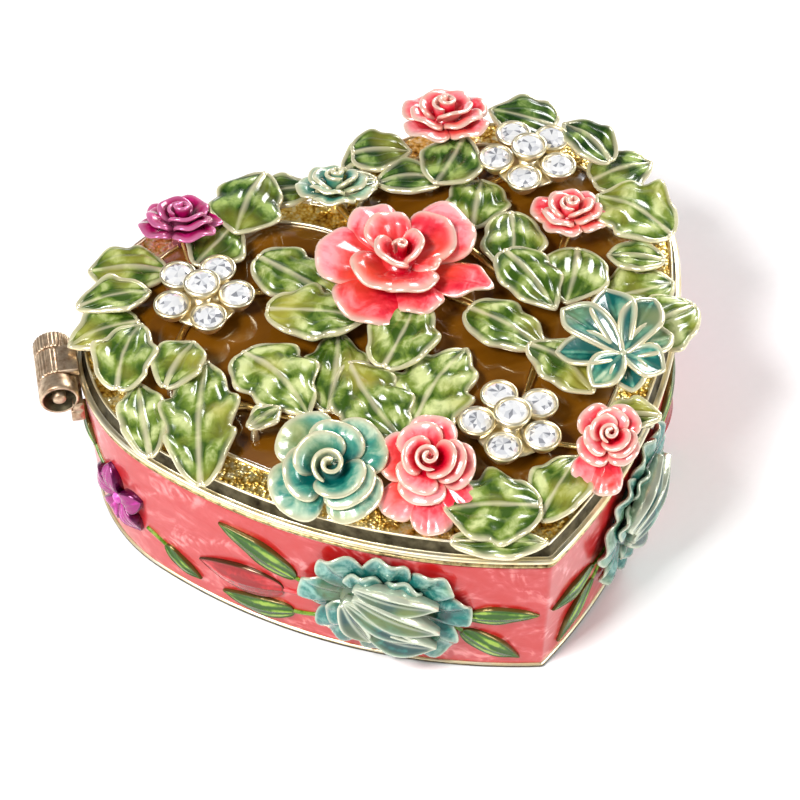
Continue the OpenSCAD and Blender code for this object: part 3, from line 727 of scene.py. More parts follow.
def leaf_spray(name, node, finish, seed):
    """Puts a leaf with its own small variations where each flat leaf of the node lies, on a thin post."""
    luck = np.random.default_rng(seed)
    made = []
    for points in solids(node):
        stalk, heading, length, width, top = blade_place(points)
        grown = leaf(
            length * LONGER,
            width * WIDER,
            lobes=np.clip(length / 3.0, 2, 3.6),
            full=luck.uniform(0.75, 1.25),
            ruffle=luck.uniform(0.06, 0.13),
            arch=luck.uniform(0.3, 0.8),
            fold=luck.uniform(0.1, 0.6),
            curl=luck.uniform(0.3, 0.9),
            bend=luck.uniform(-0.06, 0.06),
            phase=luck.uniform(0, 1),
            shade=luck.uniform(0.35, 1.0),
            pleat=0.12,
            rim=0.28,
        )
        stalk = stalk - 0.06 * length * facing(heading)
        made.append(moved(grown, turn_z(heading), (*stalk, top - LEAF_DROP)))
        floor = points[:, 2].min()
        if top - floor > 1.0:
            post_at = stalk + 0.22 * length * facing(heading)
            end = top - POST_TOP
            post = [(0, floor), (0.5, floor), (0.34, (floor + top) / 2), (0.36, end), (0, end)]
            made.append(lathe(post, 14, centre=(*post_at, 0), rim=1.0))
    piece(name, join(made), [finish], "lid", [node])


leaf_spray("hinge_side_leaves", "leaves_hinge", leaf_enamel, 3)
leaf_spray("front_leaves", "leaves_front", leaf_enamel, 5)
leaf_spray("middle_leaves", "leaves_centre", leaf_enamel, 8)
leaf_spray("right_leaves", "leaves_right", leaf_enamel, 13)
leaf_spray("back_leaves", "leaves_back", dark_leaf_enamel, 21)


# %% [markdown]
# ## Roses
# A rose is rings of petals. One petal is a patch of a cup: its angle runs round the rose's axis, its radius
# and height grow from the base to the lip, and its lip rolls outwards into a gilt edge. Outer rings are
# wide and low, inner rings are steep and wrap past each other, which gives the spiral at the heart.

# %% Petal surface
def petal(
    heading, spread, inner, reach, foot, lip, roll, twist=0.0, wave=0.05, point=0.0, shade=0.5, phase=0.0,
    lip_w=0.3, rows=21, columns=31, thick=0.45,
):
    """A petal centred on heading, spread radians to each side.

    Its outline is t <= (1 - |s|^2.5)^0.4. The radius grows from inner to reach and the height from foot to
    lip, and the last quarter rolls outwards and down by roll.
    """
    s = np.sin(np.linspace(-np.pi / 2, np.pi / 2, columns))[None, :]
    t = np.sin(np.linspace(0, np.pi / 2, rows))[:, None]
    outline = (1 - np.abs(s) ** 2.5) ** 0.4 * (1 + point * (np.exp(-((s / 0.25) ** 2)) - 0.35))
    grown = t * outline
    angle = heading + spread * s * (0.75 + 0.25 * grown)
    lipped = np.clip((t - 0.72) / 0.28, 0, 1) ** 2
    size = np.hypot(reach - inner, lip - foot)
    radius = inner + (reach - inner) * grown**0.85 + roll * lipped
    radius = radius * (1 + twist * s)
    height = foot + (lip - foot) * grown**1.25 - roll * 0.8 * lipped
    height = height + wave * size * np.sin(2.5 * np.pi * s + phase) * grown**2
    points = np.stack(np.broadcast_arrays(radius * np.cos(angle), radius * np.sin(angle), height), -1)
    gilt = np.exp(-(((1 - t) * np.maximum(outline, 0.02) * size / lip_w) ** 2))
    plump = (1 - t**12) ** 0.5 * (1 - np.abs(s) ** 12) ** 0.5 * np.clip(t * 8, 0, 1)
    # hollow darkens the petal towards its base, deep in the flower, as painted shade; crest paints the outer
    # part lighter as light on the lip.
    hollow = np.clip(1.15 - 1.3 * grown, 0, 1) ** 1.3
    crest = shade + 0.4 * np.clip(grown - 0.45, 0, 1)
    return shell(points, thick * plump * (1 + 0.7 * gilt), rim=0.85 * gilt, recess=hollow, shade=crest)


# %% Rings of petals and rolled buds
def petal_ring(count, start, spread, inner, reach, foot, lip, roll, luck, **more):
    """count petals in a ring, each with its own small variations."""
    made = []
    for k in range(count):
        heading = start + 2 * np.pi * k / count + luck.uniform(-0.08, 0.08)
        grown = reach * luck.uniform(0.94, 1.03)
        raised = lip * luck.uniform(0.96, 1.03)
        tone = {"shade": luck.uniform(0.2, 0.9), "phase": luck.uniform(0, 6)}
        made.append(petal(heading, spread, inner, grown, foot, raised, roll, **tone, **more))
    return made


def spiral_bud(radius, low, high, turns, start, thick=0.4, shade=0.7):
    """A rolled petal: a strip whose angle and radius grow together, from the middle out.

    Along the strip, angle = start + 2 pi turns t and radius = r (0.12 + 0.88 t). Its inner end is highest.
    """
    t = np.linspace(0, 1, 72)[:, None]
    h = np.sin(np.linspace(0, np.pi / 2, 13))[None, :]
    angle = start + 2 * np.pi * turns * t
    r = radius * (0.12 + 0.88 * t) * (0.8 + 0.2 * h) + 0.12 * radius * np.clip((h - 0.8) / 0.2, 0, 1) ** 2
    z = low + (high - low) * h * (1 - 0.28 * t)
    points = np.stack(np.broadcast_arrays(r * np.cos(angle), r * np.sin(angle), z), -1)
    lip = np.exp(-(((1 - h) * (high - low) / 0.3) ** 2))
    plump = (1 - (2 * t - 1) ** 16) ** 0.5 * (1 - h**12) ** 0.5 * np.clip(8 * h, 0, 1)
    # Darker towards the foot of the roll, deep in the flower: painted shade.
    recess = np.clip(1 - 1.2 * h, 0, 1)
    return shell(points, thick * plump * (1 + 0.5 * lip), rim=0.9 * lip, recess=recess, shade=shade)


def stub(radius, height):
    """The knob under the petals, marked as wholly hollow: its finish's deepest colour, as painted shade."""
    profile = [(0, 0.02), (0.30, 0.05), (0.42, 0.2), (0.12, 0.5), (0, 0.5)]
    return lathe([(r * radius, z * height) for r, z in profile], 24, recess=1.0)


# %% Cabbage rose
def rose(radius, height, start, seed):
    """A cabbage rose: four wide outer petals, three above them, two deep ones, and a rolled bud.

    Each row is count, turn, spread, reach, foot, lip, roll, twist and wave, sizes as shares of r and h.
    """
    luck = np.random.default_rng(seed)
    r, h = radius, height
    fine = 0.30 + 0.02 * r
    rows = [
        (4, 0.0, 0.95, 0.97, 0.05, 0.42, 0.11, 0.0, 0.06),
        (3, 0.6, 1.15, 0.74, 0.15, 0.68, 0.10, 0.06, 0.06),
        (2, 1.5, 1.6, 0.53, 0.2, 0.86, 0.08, 0.12, 0.04),
    ]
    made = []
    for count, turn, spread, reach, foot, lip, roll, twist, wave in rows:
        sizes = (0.10 * r, reach * r, foot * h, lip * h, roll * r)
        made += petal_ring(count, start + turn, spread, *sizes, luck, twist=twist, wave=wave, thick=fine)
    made.append(spiral_bud(0.30 * r, 0.3 * h, h, 1.6, start, fine, luck.uniform(0.6, 1.1)))
    return join([*made, stub(r, h)])


# %% Large rose and open flower
def centre_petals(r, h):
    """The large rose's own petals: pale ones behind, coral ones in front, and a wide cup round the bud.

    Each row is heading, spread, reach, foot, lip, roll, shade, lip width and point, as shares of r and h.
    """
    rows = [
        (146, 0.76, 1.04, 0.12, 0.52, 0.10, 0.95, 0.30, 0.0),
        (94, 0.62, 0.90, 0.20, 0.60, 0.09, 1.10, 0.30, 0.0),
        (11, 0.80, 1.00, 0.22, 0.66, 0.12, 0.95, 0.35, 0.0),
        (-46, 0.50, 1.14, 0.06, 0.34, 0.04, 0.10, 0.30, 0.22),
        (-96, 0.62, 0.86, 0.04, 0.34, 0.07, 0.45, 0.30, 0.0),
        (-152, 0.84, 1.04, 0.06, 0.36, 0.11, 0.35, 0.35, 0.0),
        (-166, 1.10, 0.66, 0.22, 0.72, 0.08, 0.25, 0.40, 0.0),
        (-104, 1.00, 0.64, 0.24, 0.70, 0.09, 0.40, 0.45, 0.0),
        (8, 0.98, 0.70, 0.30, 0.82, 0.10, 0.10, 0.40, 0.0),
        (88, 0.90, 0.56, 0.35, 0.88, 0.08, 0.80, 0.35, 0.0),
        (-50, 0.50, 0.50, 0.30, 0.64, 0.06, 0.60, 0.30, 0.0),
        (182, 1.75, 0.31, 0.35, 0.93, 0.06, 0.60, 0.40, 0.0),
        (-22, 1.60, 0.26, 0.35, 0.99, 0.06, 0.45, 0.40, 0.0),
    ]
    made = []
    for a, spread, reach, foot, lip, roll, shade, width, point in rows:
        sizes = (0.08 * r, reach * r, foot * h, lip * h, roll * r)
        look = {"shade": shade, "lip_w": width, "point": point, "phase": a}
        made.append(petal(np.radians(a), spread, *sizes, thick=0.5, wave=0.05, twist=0.05, **look))
    made.append(spiral_bud(0.11 * r, 0.4 * h, 0.96 * h, 1.1, 2.0, 0.35, 0.1))
    return join([*made, stub(r, h)])


def open_petals(r, h):
    """An open flower seen from one side: long hollow petals fan out behind, short ones in front.

    Each row is heading, length, width and shade; the petals start from a point in front of the middle.
    """
    rows = [
        (150, 1.35, 0.86, 0.5), (112, 1.62, 0.92, 0.0), (74, 1.66, 0.95, 0.7), (36, 1.5, 0.92, 0.1),
        (0, 1.15, 0.8, 0.8), (-52, 0.9, 0.8, 1.0), (-104, 0.85, 0.8, 0.5), (-156, 1.0, 0.8, 0.9),
    ]
    hollow = {"lobes": 1.2, "full": 1.3, "ruffle": 0.05, "arch": 0.4, "fold": 1.5, "curl": 0.4}
    made = []
    for k, (a, length, width, shade) in enumerate(rows):
        tray = leaf(length * r, width * r, phase=0.3 * k, shade=shade, rim=0.32, rib_gilt=0.1, **hollow)
        made.append(moved(tray, turn_z(np.radians(a)), (0.22 * r, -0.45 * r, (0.25 + 0.12 * (k % 2)) * h)))
    return join([*made, stub(r, h)])


def hanging_petals(*rows):
    """Separate petals under a rose. Each row is heading, reach and shade."""
    sizes = (0.1, 0.6, 0.3)
    return [petal(np.radians(a), 0.5, 0.8, reach, *sizes, shade=tone, lip_w=0.35) for a, reach, tone in rows]


# %% Roses on the lid
FRONT = -116  # heading of the side that faces the viewer of the front, in degrees
STEM_H = 2.4  # from the pane to a rose's lowest petals


def lid_rose(name, node, finish, start, seed, size, tilt, make=None, more=()):
    """A rose in the place of a CAD rose, on a short gilt stem, leaning to the front by tilt degrees."""
    low, high = box_mm(node)
    centre = (low + high) / 2
    rose_low = TOP_Z + STEM_H
    radius, height = size * (high[0] - low[0] + high[1] - low[1]) / 4, high[2] - rose_low
    flower = make(radius, height) if make else rose(radius, height, start, seed)
    front = np.radians(FRONT + 90)
    lean_over = turn_z(front) @ turn_x(np.radians(tilt)) @ turn_z(-front)
    lift = 0.35 * radius * np.sin(np.radians(tilt)) - 0.3
    flower = moved(join([flower, *more]), lean_over, (centre[0], centre[1], rose_low + lift))
    stem = [(0, TOP_Z), (1.2, TOP_Z), (0.8, TOP_Z + 0.8), (0.9, rose_low + 0.4), (0, rose_low + 0.4)]
    stem = lathe(stem, 20, centre=(centre[0], centre[1], 0), rim=1.0)
    piece(name, join([flower, stem]), [finish], "lid", [node])


lower_petals = hanging_petals((-152, 6.4, 1.1), (-112, 7.0, 0.9), (-78, 6.0, 0.5))
point_petals = hanging_petals((-148, 5.2, 0.9), (-122, 5.6, 0.6))
lid_rose("centre_rose", "rose_centre", pink_rose_enamel, 0, 0, 0.96, 2, make=centre_petals)
lid_rose("front_teal_rose", "rose_front_teal", teal_rose_enamel, 0.2, 6, 1.18, 24)
lid_rose("front_pink_rose", "rose_front_pink", pink_rose_enamel, 0.9, 9, 1.08, 24, more=lower_petals)
lid_rose("hinge_magenta_rose", "rose_hinge_magenta", magenta_enamel, 0.1, 12, 1.0, -18)
lid_rose("back_pink_rose", "rose_back_pink", pink_rose_enamel, 0.4, 15, 1.12, -14)
lid_rose("back_teal_rose", "rose_back_teal", teal_rose_enamel, 1.1, 18, 1.0, -20)
lid_rose("right_pink_rose", "rose_right_pink", pink_rose_enamel, 0.7, 22, 1.12, -10)
lid_rose("right_teal_rose", "rose_right_teal", teal_rose_enamel, 0.0, 25, 1.05, 8, make=open_petals)
lid_rose("point_pink_rose", "rose_point_pink", pink_rose_enamel, 0.3, 28, 0.92, 26, more=point_petals)


# %% [markdown]
# ## Blossoms of stones
# Each blossom is six round stones in gold cups. A cup is turned from one profile, with a rolled brim that
# holds the stone. The stone is cut: a flat table, and rings of facets that catch the light one by one, so
# its faces stay flat and each is given its own painted brightness, a painted sparkle like the one that foil
# behind a real stone gives.

# %% Cups and stones
FACETS = 12


def stone(radius, low, high, luck):
    """A cut stone: rings of FACETS points from table to culet, each turned half a step from the last."""
    levels = [(0.0, 1.0), (0.5, 1.0), (0.78, 0.88), (1.0, 0.62), (1.0, 0.54), (0.5, 0.25), (0.0, 0.0)]
    share, z = np.array(levels).T
    count = len(levels)
    a = (np.arange(FACETS)[None] + 0.5 * (np.arange(count) % 2)[:, None]) * 2 * np.pi / FACETS
    r = radius * share[:, None]
    up = low + (high - low) * np.repeat(z[:, None], FACETS, 1)
    points = np.stack([r * np.cos(a), r * np.sin(a), up], -1)
    k, j = np.meshgrid(np.arange(count - 1), np.arange(FACETS), indexing="ij")
    n, odd = (j + 1) % FACETS, k % 2
    here, beside = k * FACETS + j, k * FACETS + n
    under, under_next = here + FACETS, k * FACETS + FACETS + n
    first = np.stack([here, beside, np.where(odd, under_next, under)], -1)
    second = np.stack([np.where(odd, here, beside), under_next, under], -1)
    faces = np.concatenate([first.reshape(-1, 3), second.reshape(-1, 3)])
    return {
        "points": points.reshape(-1, 3),
        "faces": faces,
        "paint": np.zeros(len(faces), int),
        # Each facet's tone is painted brightness that stands in for sparkle and reflection.
        "tone": luck.choice([0.1, 0.4, 0.7, 0.95], size=len(faces), p=[0.12, 0.18, 0.25, 0.45]),
        "marks": {m: np.zeros(count * FACETS) for m in MARKS},
    }


# %% Cups and blossoms
def cup(stone_r, floor, brim):
    """Profile of a gold cup whose rolled brim laps over the stone's edge."""
    outer = stone_r + 0.3
    profile = [(0, floor), (0.55 * outer, floor), (0.75 * outer, floor + 0.35 * (brim - floor))]
    profile += [(0.93 * outer, floor + 0.75 * (brim - floor))]
    profile += arc((stone_r + 0.10, brim + 0.02), 0.2, -40, 190, 12)
    return profile + [(stone_r - 0.08, brim - 0.15), (0.3 * stone_r, floor + 0.4), (0, floor + 0.3)]


def blossom(side, seed):
    """Cups, plate and post for the stones of one CAD blossom, and the cut stones themselves."""
    luck = np.random.default_rng(seed)
    cups, stones = [], []
    places = [(p.min(0), p.max(0)) for p in solids("stones_" + side)]
    for low, high in places:
        centre, radius = (low + high) / 2, (high[0] - low[0]) / 2
        at = (centre[0], centre[1], 0)
        cups.append(lathe(cup(radius, low[2] - 0.5, low[2] + 0.6 * (high[2] - low[2]) + 0.1), 40, centre=at))
        stones.append(moved(stone(radius, low[2], high[2], luck), turn_z(luck.uniform(0, 1)), at))
    middle = max(places, key=lambda p: p[1][2])
    centre = (middle[0] + middle[1]) / 2
    lowest = min(p[0][2] for p in places) - 0.5
    reach = max(np.linalg.norm((p[0] + p[1])[:2] / 2 - centre[:2]) for p in places)
    post = [(0, TOP_Z), (1.5, TOP_Z), (1.0, TOP_Z + 0.4), (1.0, lowest), (reach, lowest)]
    post += [(reach + 0.2, lowest + 0.17), (reach, lowest + 0.35), (1.1, lowest + 0.4)]
    post += [(1.0, middle[0][2] - 0.4), (0, middle[0][2] - 0.4)]
    cups.append(lathe(post, 40, centre=(centre[0], centre[1], 0)))
    piece("blossom_" + side, join(cups), [bright_bead], "lid", ["setting_" + side])
    piece("cut_stones_" + side, join(stones), [stone_glass], "lid", ["stones_" + side], smooth=False)


for seed, side in enumerate(("left", "front", "back"), 31):
    blossom(side, seed)


# %% [markdown]
# ## Vines
# Gold stems lie on the pane between the flowers. A stem is a round wire carried along a smooth curve
# through a few points, with a little swelling where it branches. The curve through the points is a
# Catmull-Rom spline, which passes through every one of them.

# %% Wires along a path
def spline(points, steps=8):
    """Catmull-Rom curve: each span is a cubic through its two ends, with slopes from their neighbours."""
    p = np.array(points, float)
    p = np.vstack([2 * p[0] - p[1], p, 2 * p[-1] - p[-2]])
    t = np.linspace(0, 1, steps, endpoint=False)[:, None]
    spans = [
        0.5 * (2 * b + (c - a) * t + (2 * a - 5 * b + 4 * c - d) * t**2 + (3 * b - a - 3 * c + d) * t**3)
        for a, b, c, d in zip(p[:-3], p[1:-2], p[2:-1], p[3:])
    ]
    return np.vstack([*spans, p[-2:-1]])


def wire(path, radius, sides=12, **marks):
    """A round wire along a path: a circle in the plane across it at each point, closed at both ends."""
    along = np.gradient(path, axis=0)
    along /= np.linalg.norm(along, axis=1, keepdims=True)
    side = np.cross(along, [0, 0, 1.0])
    side /= np.linalg.norm(side, axis=1, keepdims=True) + 1e-9
    up = np.cross(side, along)
    a = np.linspace(0, 2 * np.pi, sides, endpoint=False)[None, :, None]
    r = np.broadcast_to(radius, len(path))[:, None, None]
    rings = path[:, None] + r * (np.cos(a) * side[:, None] + np.sin(a) * up[:, None])
    ends = [np.repeat(path[i][None, None], sides, 1) for i in (0, -1)]
    return patch(np.concatenate([ends[0], rings, ends[1]]), wrap_columns=True, **marks)


# %% Stems on the pane
DRAWN_WIDTH = 64  # width of the heart that the stems below were drawn on, in mm
VINES = [
    [(-24, 0), (-17.4, 5.6), (-9, 4), (2.1, -0.6), (7, -6), (10.4, -15), (15.4, -18.8)],
    [(-17.4, 5.6), (-15.4, 15.4)],
    [(2.1, -0.6), (-2, -6), (-7, -13), (-15.8, -21.2)],
    [(-7, -13), (-14.5, -12.2), (-20, -8), (-24, -12)],
    [(-7, -13), (-3.4, -17), (-7, -24.6), (-9.4, -29)],
    [(-3.4, -17), (2.9, -23.2), (10.3, -29.4), (12, -31)],
    [(2.1, -0.6), (10, 2), (13, 8), (15.6, 16.8)],
    [(13, 8), (21.3, 8.3), (27, 7)],
    [(2.1, -0.6), (0.9, 12.9), (0, 15.4)],
    [(10, 2), (14, -8), (21.1, -1.5), (27, 0)],
    [(14, -8), (19, -11), (24, -14)],
    [(2.9, -23.2), (10.4, -15)],
]
stems = []
for run in VINES:
    flat = spline(np.array(run) * HEART_WIDTH / DRAWN_WIDTH)
    height = TOP_Z + 0.3 + 0.06 * np.sin(np.arange(len(flat)))
    path = np.column_stack([flat[:, 0], flat[:, 1] - MIDDLE_Y, height])
    stems.append(wire(path, 0.42 + 0.08 * np.cos(np.arange(len(path)) * np.pi / 4)))
piece("vines", join(stems), [polished_gold], "lid", ["lid_vines"])


# %% [markdown]
# ## Ornaments on the wall
# The wall's roses, leaves and buds are modelled flat, as if pressed on a bench, and then bent round the
# box. A point's x becomes a distance along the outline, its y a height, and its z a distance out of the
# wall. The same bend read backwards says where the frame's ornaments lie on the unrolled wall.

# %% Wall coordinates
RING = heart(0)
RING_STEP = np.roll(RING, -1, axis=0) - np.roll(RING, 1, axis=0)
RING_ALONG = RING_STEP / np.linalg.norm(RING_STEP, axis=1, keepdims=True)
RING_OUT = np.column_stack([-RING_ALONG[:, 1], RING_ALONG[:, 0]])
RING_S = np.concatenate([[0], np.cumsum(np.linalg.norm(np.diff(RING, axis=0), axis=1))])


# %% Bending to the wall and back
def unrolled(points):
    """Points near the wall as (x along it, height, distance out of it)."""
    near = np.linalg.norm(points[:, None, :2] - RING[None], axis=2).argmin(1)
    gap = points[:, :2] - RING[near]
    along = RING_S[near] + (gap * RING_ALONG[near]).sum(1)
    return np.column_stack([-along, points[:, 2], (gap * RING_OUT[near]).sum(1) - lean(points[:, 2])])


def wrapped(part):
    """The flat patch bent round the box: x runs backwards along the outline, y is up, z is out."""
    x, height, out = part["points"].T
    on_ring = [np.interp(-x, RING_S, c) for c in (*RING.T, *RING_OUT.T)]
    foot, normal = np.column_stack(on_ring[:2]), np.column_stack(on_ring[2:])
    normal /= np.linalg.norm(normal, axis=1, keepdims=True)
    flat = foot + normal * (lean(height) + out)[:, None]
    return {**part, "points": np.column_stack([flat, height])}


# %% Roses on the wall
def wall_petals(r, h, turned):
    """A half-open rose pressed flat: ruffled petals round the outside, and long folded ones over the bud.

    The ruffles' rows are heading, spread, reach, lip and shade. The folds' rows are where a fold starts,
    its heading, length, width, height and shade, all as shares of r, and they lie across the rose.
    """
    ruffles = [
        (128, 0.55, 1.02, 0.55, 1.2), (84, 0.50, 0.98, 0.50, 0.7), (42, 0.50, 1.04, 0.45, 1.0),
        (4, 0.48, 1.08, 0.40, 0.6), (-40, 0.62, 1.06, 0.45, 0.8), (-88, 0.55, 0.98, 0.38, 0.3),
        (-134, 0.55, 1.0, 0.42, 0.5), (176, 0.5, 1.0, 0.5, 0.9), (110, 0.5, 0.74, 0.75, 1.0),
        (60, 0.5, 0.74, 0.7, 0.8), (-64, 0.7, 0.72, 0.6, 0.7), (-150, 0.6, 0.70, 0.62, 0.4),
    ]
    folds = [
        (-0.46, 0.06, -64, 0.80, 0.34, 0.62, -0.5), (-0.42, 0.24, -36, 1.12, 0.30, 0.80, 1.5),
        (-0.30, 0.36, -24, 1.16, 0.36, 0.86, 0.5), (-0.30, 0.52, -8, 1.05, 0.34, 0.78, 0.9),
        (-0.24, -0.34, -14, 0.98, 0.42, 0.6, 0.6),
    ]
    ruffled = {"wave": 0.055, "lip_w": 0.22, "thick": 0.5}
    folded = {"lobes": 0.6, "full": 1.0, "ruffle": 0.03, "arch": 0.7, "fold": 0.9, "curl": 0.3, "rim": 0.3}
    made = []
    for a, spread, reach, lip, shade in ruffles:
        sizes = (0.1 * r, reach * r, 0.1 * h, lip * h, 0.06 * r)
        made.append(petal(np.radians(a), spread, *sizes, shade=shade, phase=a, **ruffled))
    for x, y, a, length, width, z, shade in folds:
        fold = leaf(length * r, width * r, shade=shade, relief=-0.8, **folded)
        made.append(moved(fold, turn_z(np.radians(a)), (x * r, y * r, z * h)))
    bud = [(0, 0), (0.62 * r, 0), (0.5 * r, 0.45 * h), (0.25 * r, 0.7 * h), (0, 0.72 * h)]
    # The bud under the folds is marked as hollow, so it is painted darker as shade.
    made.append(lathe(bud, 32, recess=0.6))
    return moved(join(made), turn_z(turned))


# %% Put the wall's roses in place
def wall_place(node):
    """A CAD ornament's middle on the unrolled wall, as x and height, and half of its height."""
    low, high = box_mm(node)
    x, height, _ = unrolled((low + high)[None] / 2)[0]
    return x, height, (high[2] - low[2]) / 2


def wall_rose(name, node, turned):
    """A rose pressed flat against the wall where the CAD rose stands."""
    x, height, radius = wall_place(node)
    flower = moved(wall_petals(1.08 * radius, 3.0, turned), shift=(x, height, -0.2))
    piece(name, wrapped(flower), [wall_teal_enamel], "base", [node])


for side, turned in [("left", 0.0), ("right", 0.7), ("back_left", -0.4), ("back_right", 0.3)]:
    wall_rose(side + "_wall_rose", "side_rose_" + side, turned)

# %% Leaves and buds on the wall
def wall_spray(name, node, finish, seed, widen, **shape):
    """Leaves and their stems, bent onto the wall where the frame's flat leaves lie."""
    luck = np.random.default_rng(seed)
    back = np.linspace(0.6, -2.6, 9)[:, None]
    made = []
    for points in solids(node):
        stalk, heading, length, width, _ = blade_place(unrolled(points))
        shape.update(phase=luck.uniform(0, 1), bend=luck.uniform(-0.08, 0.08))
        grown = leaf(length * 1.12, width * widen, relief=-0.5, rib_gilt=0.0, rows=40, columns=29, **shape)
        made.append(wrapped(moved(grown, turn_z(heading), (*stalk, 0.16))))
        along = facing(heading)
        across = along[::-1] * [-1, 1]
        stem = np.column_stack([stalk + back * along - 0.05 * back**2 * across, np.full(9, 0.08)])
        made.append(wrapped(wire(stem, 0.24, shade=0.6)))
    piece(name, join(made), [finish], "base", [node])


blade = {"ruffle": 0.04, "lobes": 1.5, "arch": 0.8, "fold": -0.1, "curl": 0.4, "rim": 0.10, "streak": 1.0}
bud = {"ruffle": 0.0, "lobes": 1.0, "arch": 0.8, "fold": -0.3, "curl": 0.3, "rim": 0.14}
for seed, side in enumerate(("left", "right", "back"), 51):
    wall_spray(side + "_wall_leaves", "side_leaves_" + side, wall_leaf_enamel, seed, 1.05, **blade)
wall_spray("wall_buds", "side_buds", bud_enamel, 54, 1.3, **bud)


# %% Magenta flowers on the wall
PLUMP = {"lobes": 1.0, "full": 1.3, "ruffle": 0.06, "arch": 1.7, "fold": 0.5, "curl": 0.8, "rim": 0.16}


def wall_flower(name, node, seed):
    """Five plump petals round a bead, each a folded leaf with its stalk at the middle."""
    x, height, radius = wall_place(node)
    luck = np.random.default_rng(seed)
    fixed = {"rib_gilt": 0.0, "streak": 0.8, "relief": -0.6, "rows": 36, "columns": 25}
    made = []
    for k in range(5):
        length, width = radius * luck.uniform(0.85, 1.0), radius * luck.uniform(0.5, 0.64)
        grown = leaf(length, width, phase=0.2 * k, **fixed, **PLUMP)
        heading = 0.5 + 2 * np.pi * k / 5 + luck.uniform(-0.15, 0.15)
        made.append(moved(grown, turn_z(heading), (*(0.12 * facing(heading)), 0.35)))
    made.append(lathe([(0, 0.1), (0.6, 0.1), (0.7, 0.7), (0.5, 1.15), (0, 1.3)], 20, shade=2.5))
    piece(name, wrapped(moved(join(made), shift=(x, height, -0.1))), [plum_enamel], "base", [node])


for seed, side in enumerate(("left", "right"), 61):
    wall_flower(side + "_wall_flower", "side_flower_" + side, seed)


# %% [markdown]
# ## Hinge and magnets
# The hinge is a short barrel of three knuckles on a pin. Each knuckle is turned with shallow flutes, and
# its leaf is soldered to the wall or to the lid. The axis comes from the joint itself, so the knuckles
# turn exactly where the model says.

# %% Hinge
joint = frame["joints"][0]
axis_at = np.array(joint["pos_m"]) / MM
axis_dir = np.array(joint["axis"]) / np.linalg.norm(joint["axis"])
outwards = np.cross([0, 0, 1.0], -axis_dir)
outwards *= np.sign(outwards @ np.array([axis_at[0], 0, 0]))
HINGE = np.column_stack([outwards, np.cross([0, 0, 1.0], outwards), [0, 0, 1.0]])
BARREL_R, PIN_R, PIN_HOLE, OPEN_BORE = 2.0, 0.7, 0.78, 1.66
OUTER_KNUCKLE, MIDDLE_KNUCKLE, BARREL = 2.0, 3.4, 7.64
FLUTES, SIDES = 30, 180


# %% Knuckles and blocks
def turned_on_y(rings, sides, wrap_rows=False, paint=0):
    """Rings of (radius, y) round the y axis. A radius may vary round its ring."""
    a = np.linspace(0, 2 * np.pi, sides, endpoint=False)
    grid = [np.column_stack([r * np.cos(a), np.full(sides, y), r * np.sin(a)]) for r, y in rings]
    return patch(np.stack(grid), wrap_rows, wrap_columns=True, paint=paint)


def knuckle(start, length, flute=0.025, bore=PIN_HOLE):
    """A tube along y of radius * (1 - flute (1 + cos 30 a)), rounded at the ends, its bore painted dark as
    shade.
    """
    a = np.linspace(0, 2 * np.pi, SIDES, endpoint=False)
    outline = BARREL_R * (1 - flute * (1 + np.cos(FLUTES * a)))
    stations = [(0.0, 0.94), (0.1, 0.98), (0.25, 1.0)]
    stations += [(length - 0.25, 1.0), (length - 0.1, 0.98), (length, 0.94)]
    rings = [(share * outline, start + y) for y, share in stations]
    rings += [(bore, start + length), (bore, start + 0.6 * length)]
    rings += [(PIN_HOLE, start + 0.6 * length), (PIN_HOLE, start)]
    return turned_on_y(rings, SIDES, True, [0, 0, 0, 0, 0, 0, 1, 1, 1, 0])


def slab(low, high, round_off=0.12):
    """A block with softened edges: a rounded rectangle swept along y, closed at both ends."""
    a = np.linspace(0, 2 * np.pi, 32, endpoint=False) + np.pi / 32
    low, high = np.array(low, float), np.array(high, float)
    centre, half = (low + high) / 2, (high - low) / 2
    turns = np.column_stack([np.cos(a), np.sin(a)])
    x, z = (np.sign(turns) * (half[[0, 2]] - round_off) + round_off * turns).T
    stations = [(low[1], 0.0), (low[1], 0.97), (low[1] + round_off, 1.0)]
    stations += [(high[1] - round_off, 1.0), (high[1], 0.97), (high[1], 0.0)]
    grid = [np.column_stack([centre[0] + k * x, np.full(32, y), centre[2] + k * z]) for y, k in stations]
    return patch(np.stack(grid), wrap_columns=True)


# %% Put the hinge together
def on_hinge(name, part, finishes, body, node):
    """A hinge piece, modelled along y at the origin and moved onto the joint's axis."""
    piece(name, moved(part, HINGE, axis_at), finishes, body, [node])


wall_x = -(BARREL_R + 0.12 + 0.2)
end, mid = BARREL / 2, MIDDLE_KNUCKLE / 2
outer = [knuckle(-end, OUTER_KNUCKLE), knuckle(end - OUTER_KNUCKLE, OUTER_KNUCKLE, 0.0, OPEN_BORE)]
for start in (-end, end - OUTER_KNUCKLE):
    outer.append(slab((wall_x, start, -BARREL_R), (-PIN_R - 0.5, start + OUTER_KNUCKLE, -BARREL_R + 1)))
outer.append(slab((wall_x, -end, -BARREL_R - 1.5), (-BARREL_R / 2, end, -BARREL_R)))
middle = [knuckle(-mid, MIDDLE_KNUCKLE), slab((wall_x, -mid, BARREL_R - 1), (-0.2, mid, BARREL_R - 0.05))]
pin = [(0, -end), (0.55, -end), (PIN_R, -end + 0.15), (PIN_R, end - 0.15), (0.55, end), (0, end)]
on_hinge("hinge_on_base", join(outer), [antique_gold, painted_shade_gold], "base", "hinge_base_leaf")
on_hinge("hinge_on_lid", join(middle), [antique_gold, painted_shade_gold], "lid", "hinge_lid_leaf")
on_hinge("pin", turned_on_y(pin, 32), [antique_gold], "base", "hinge_pin")

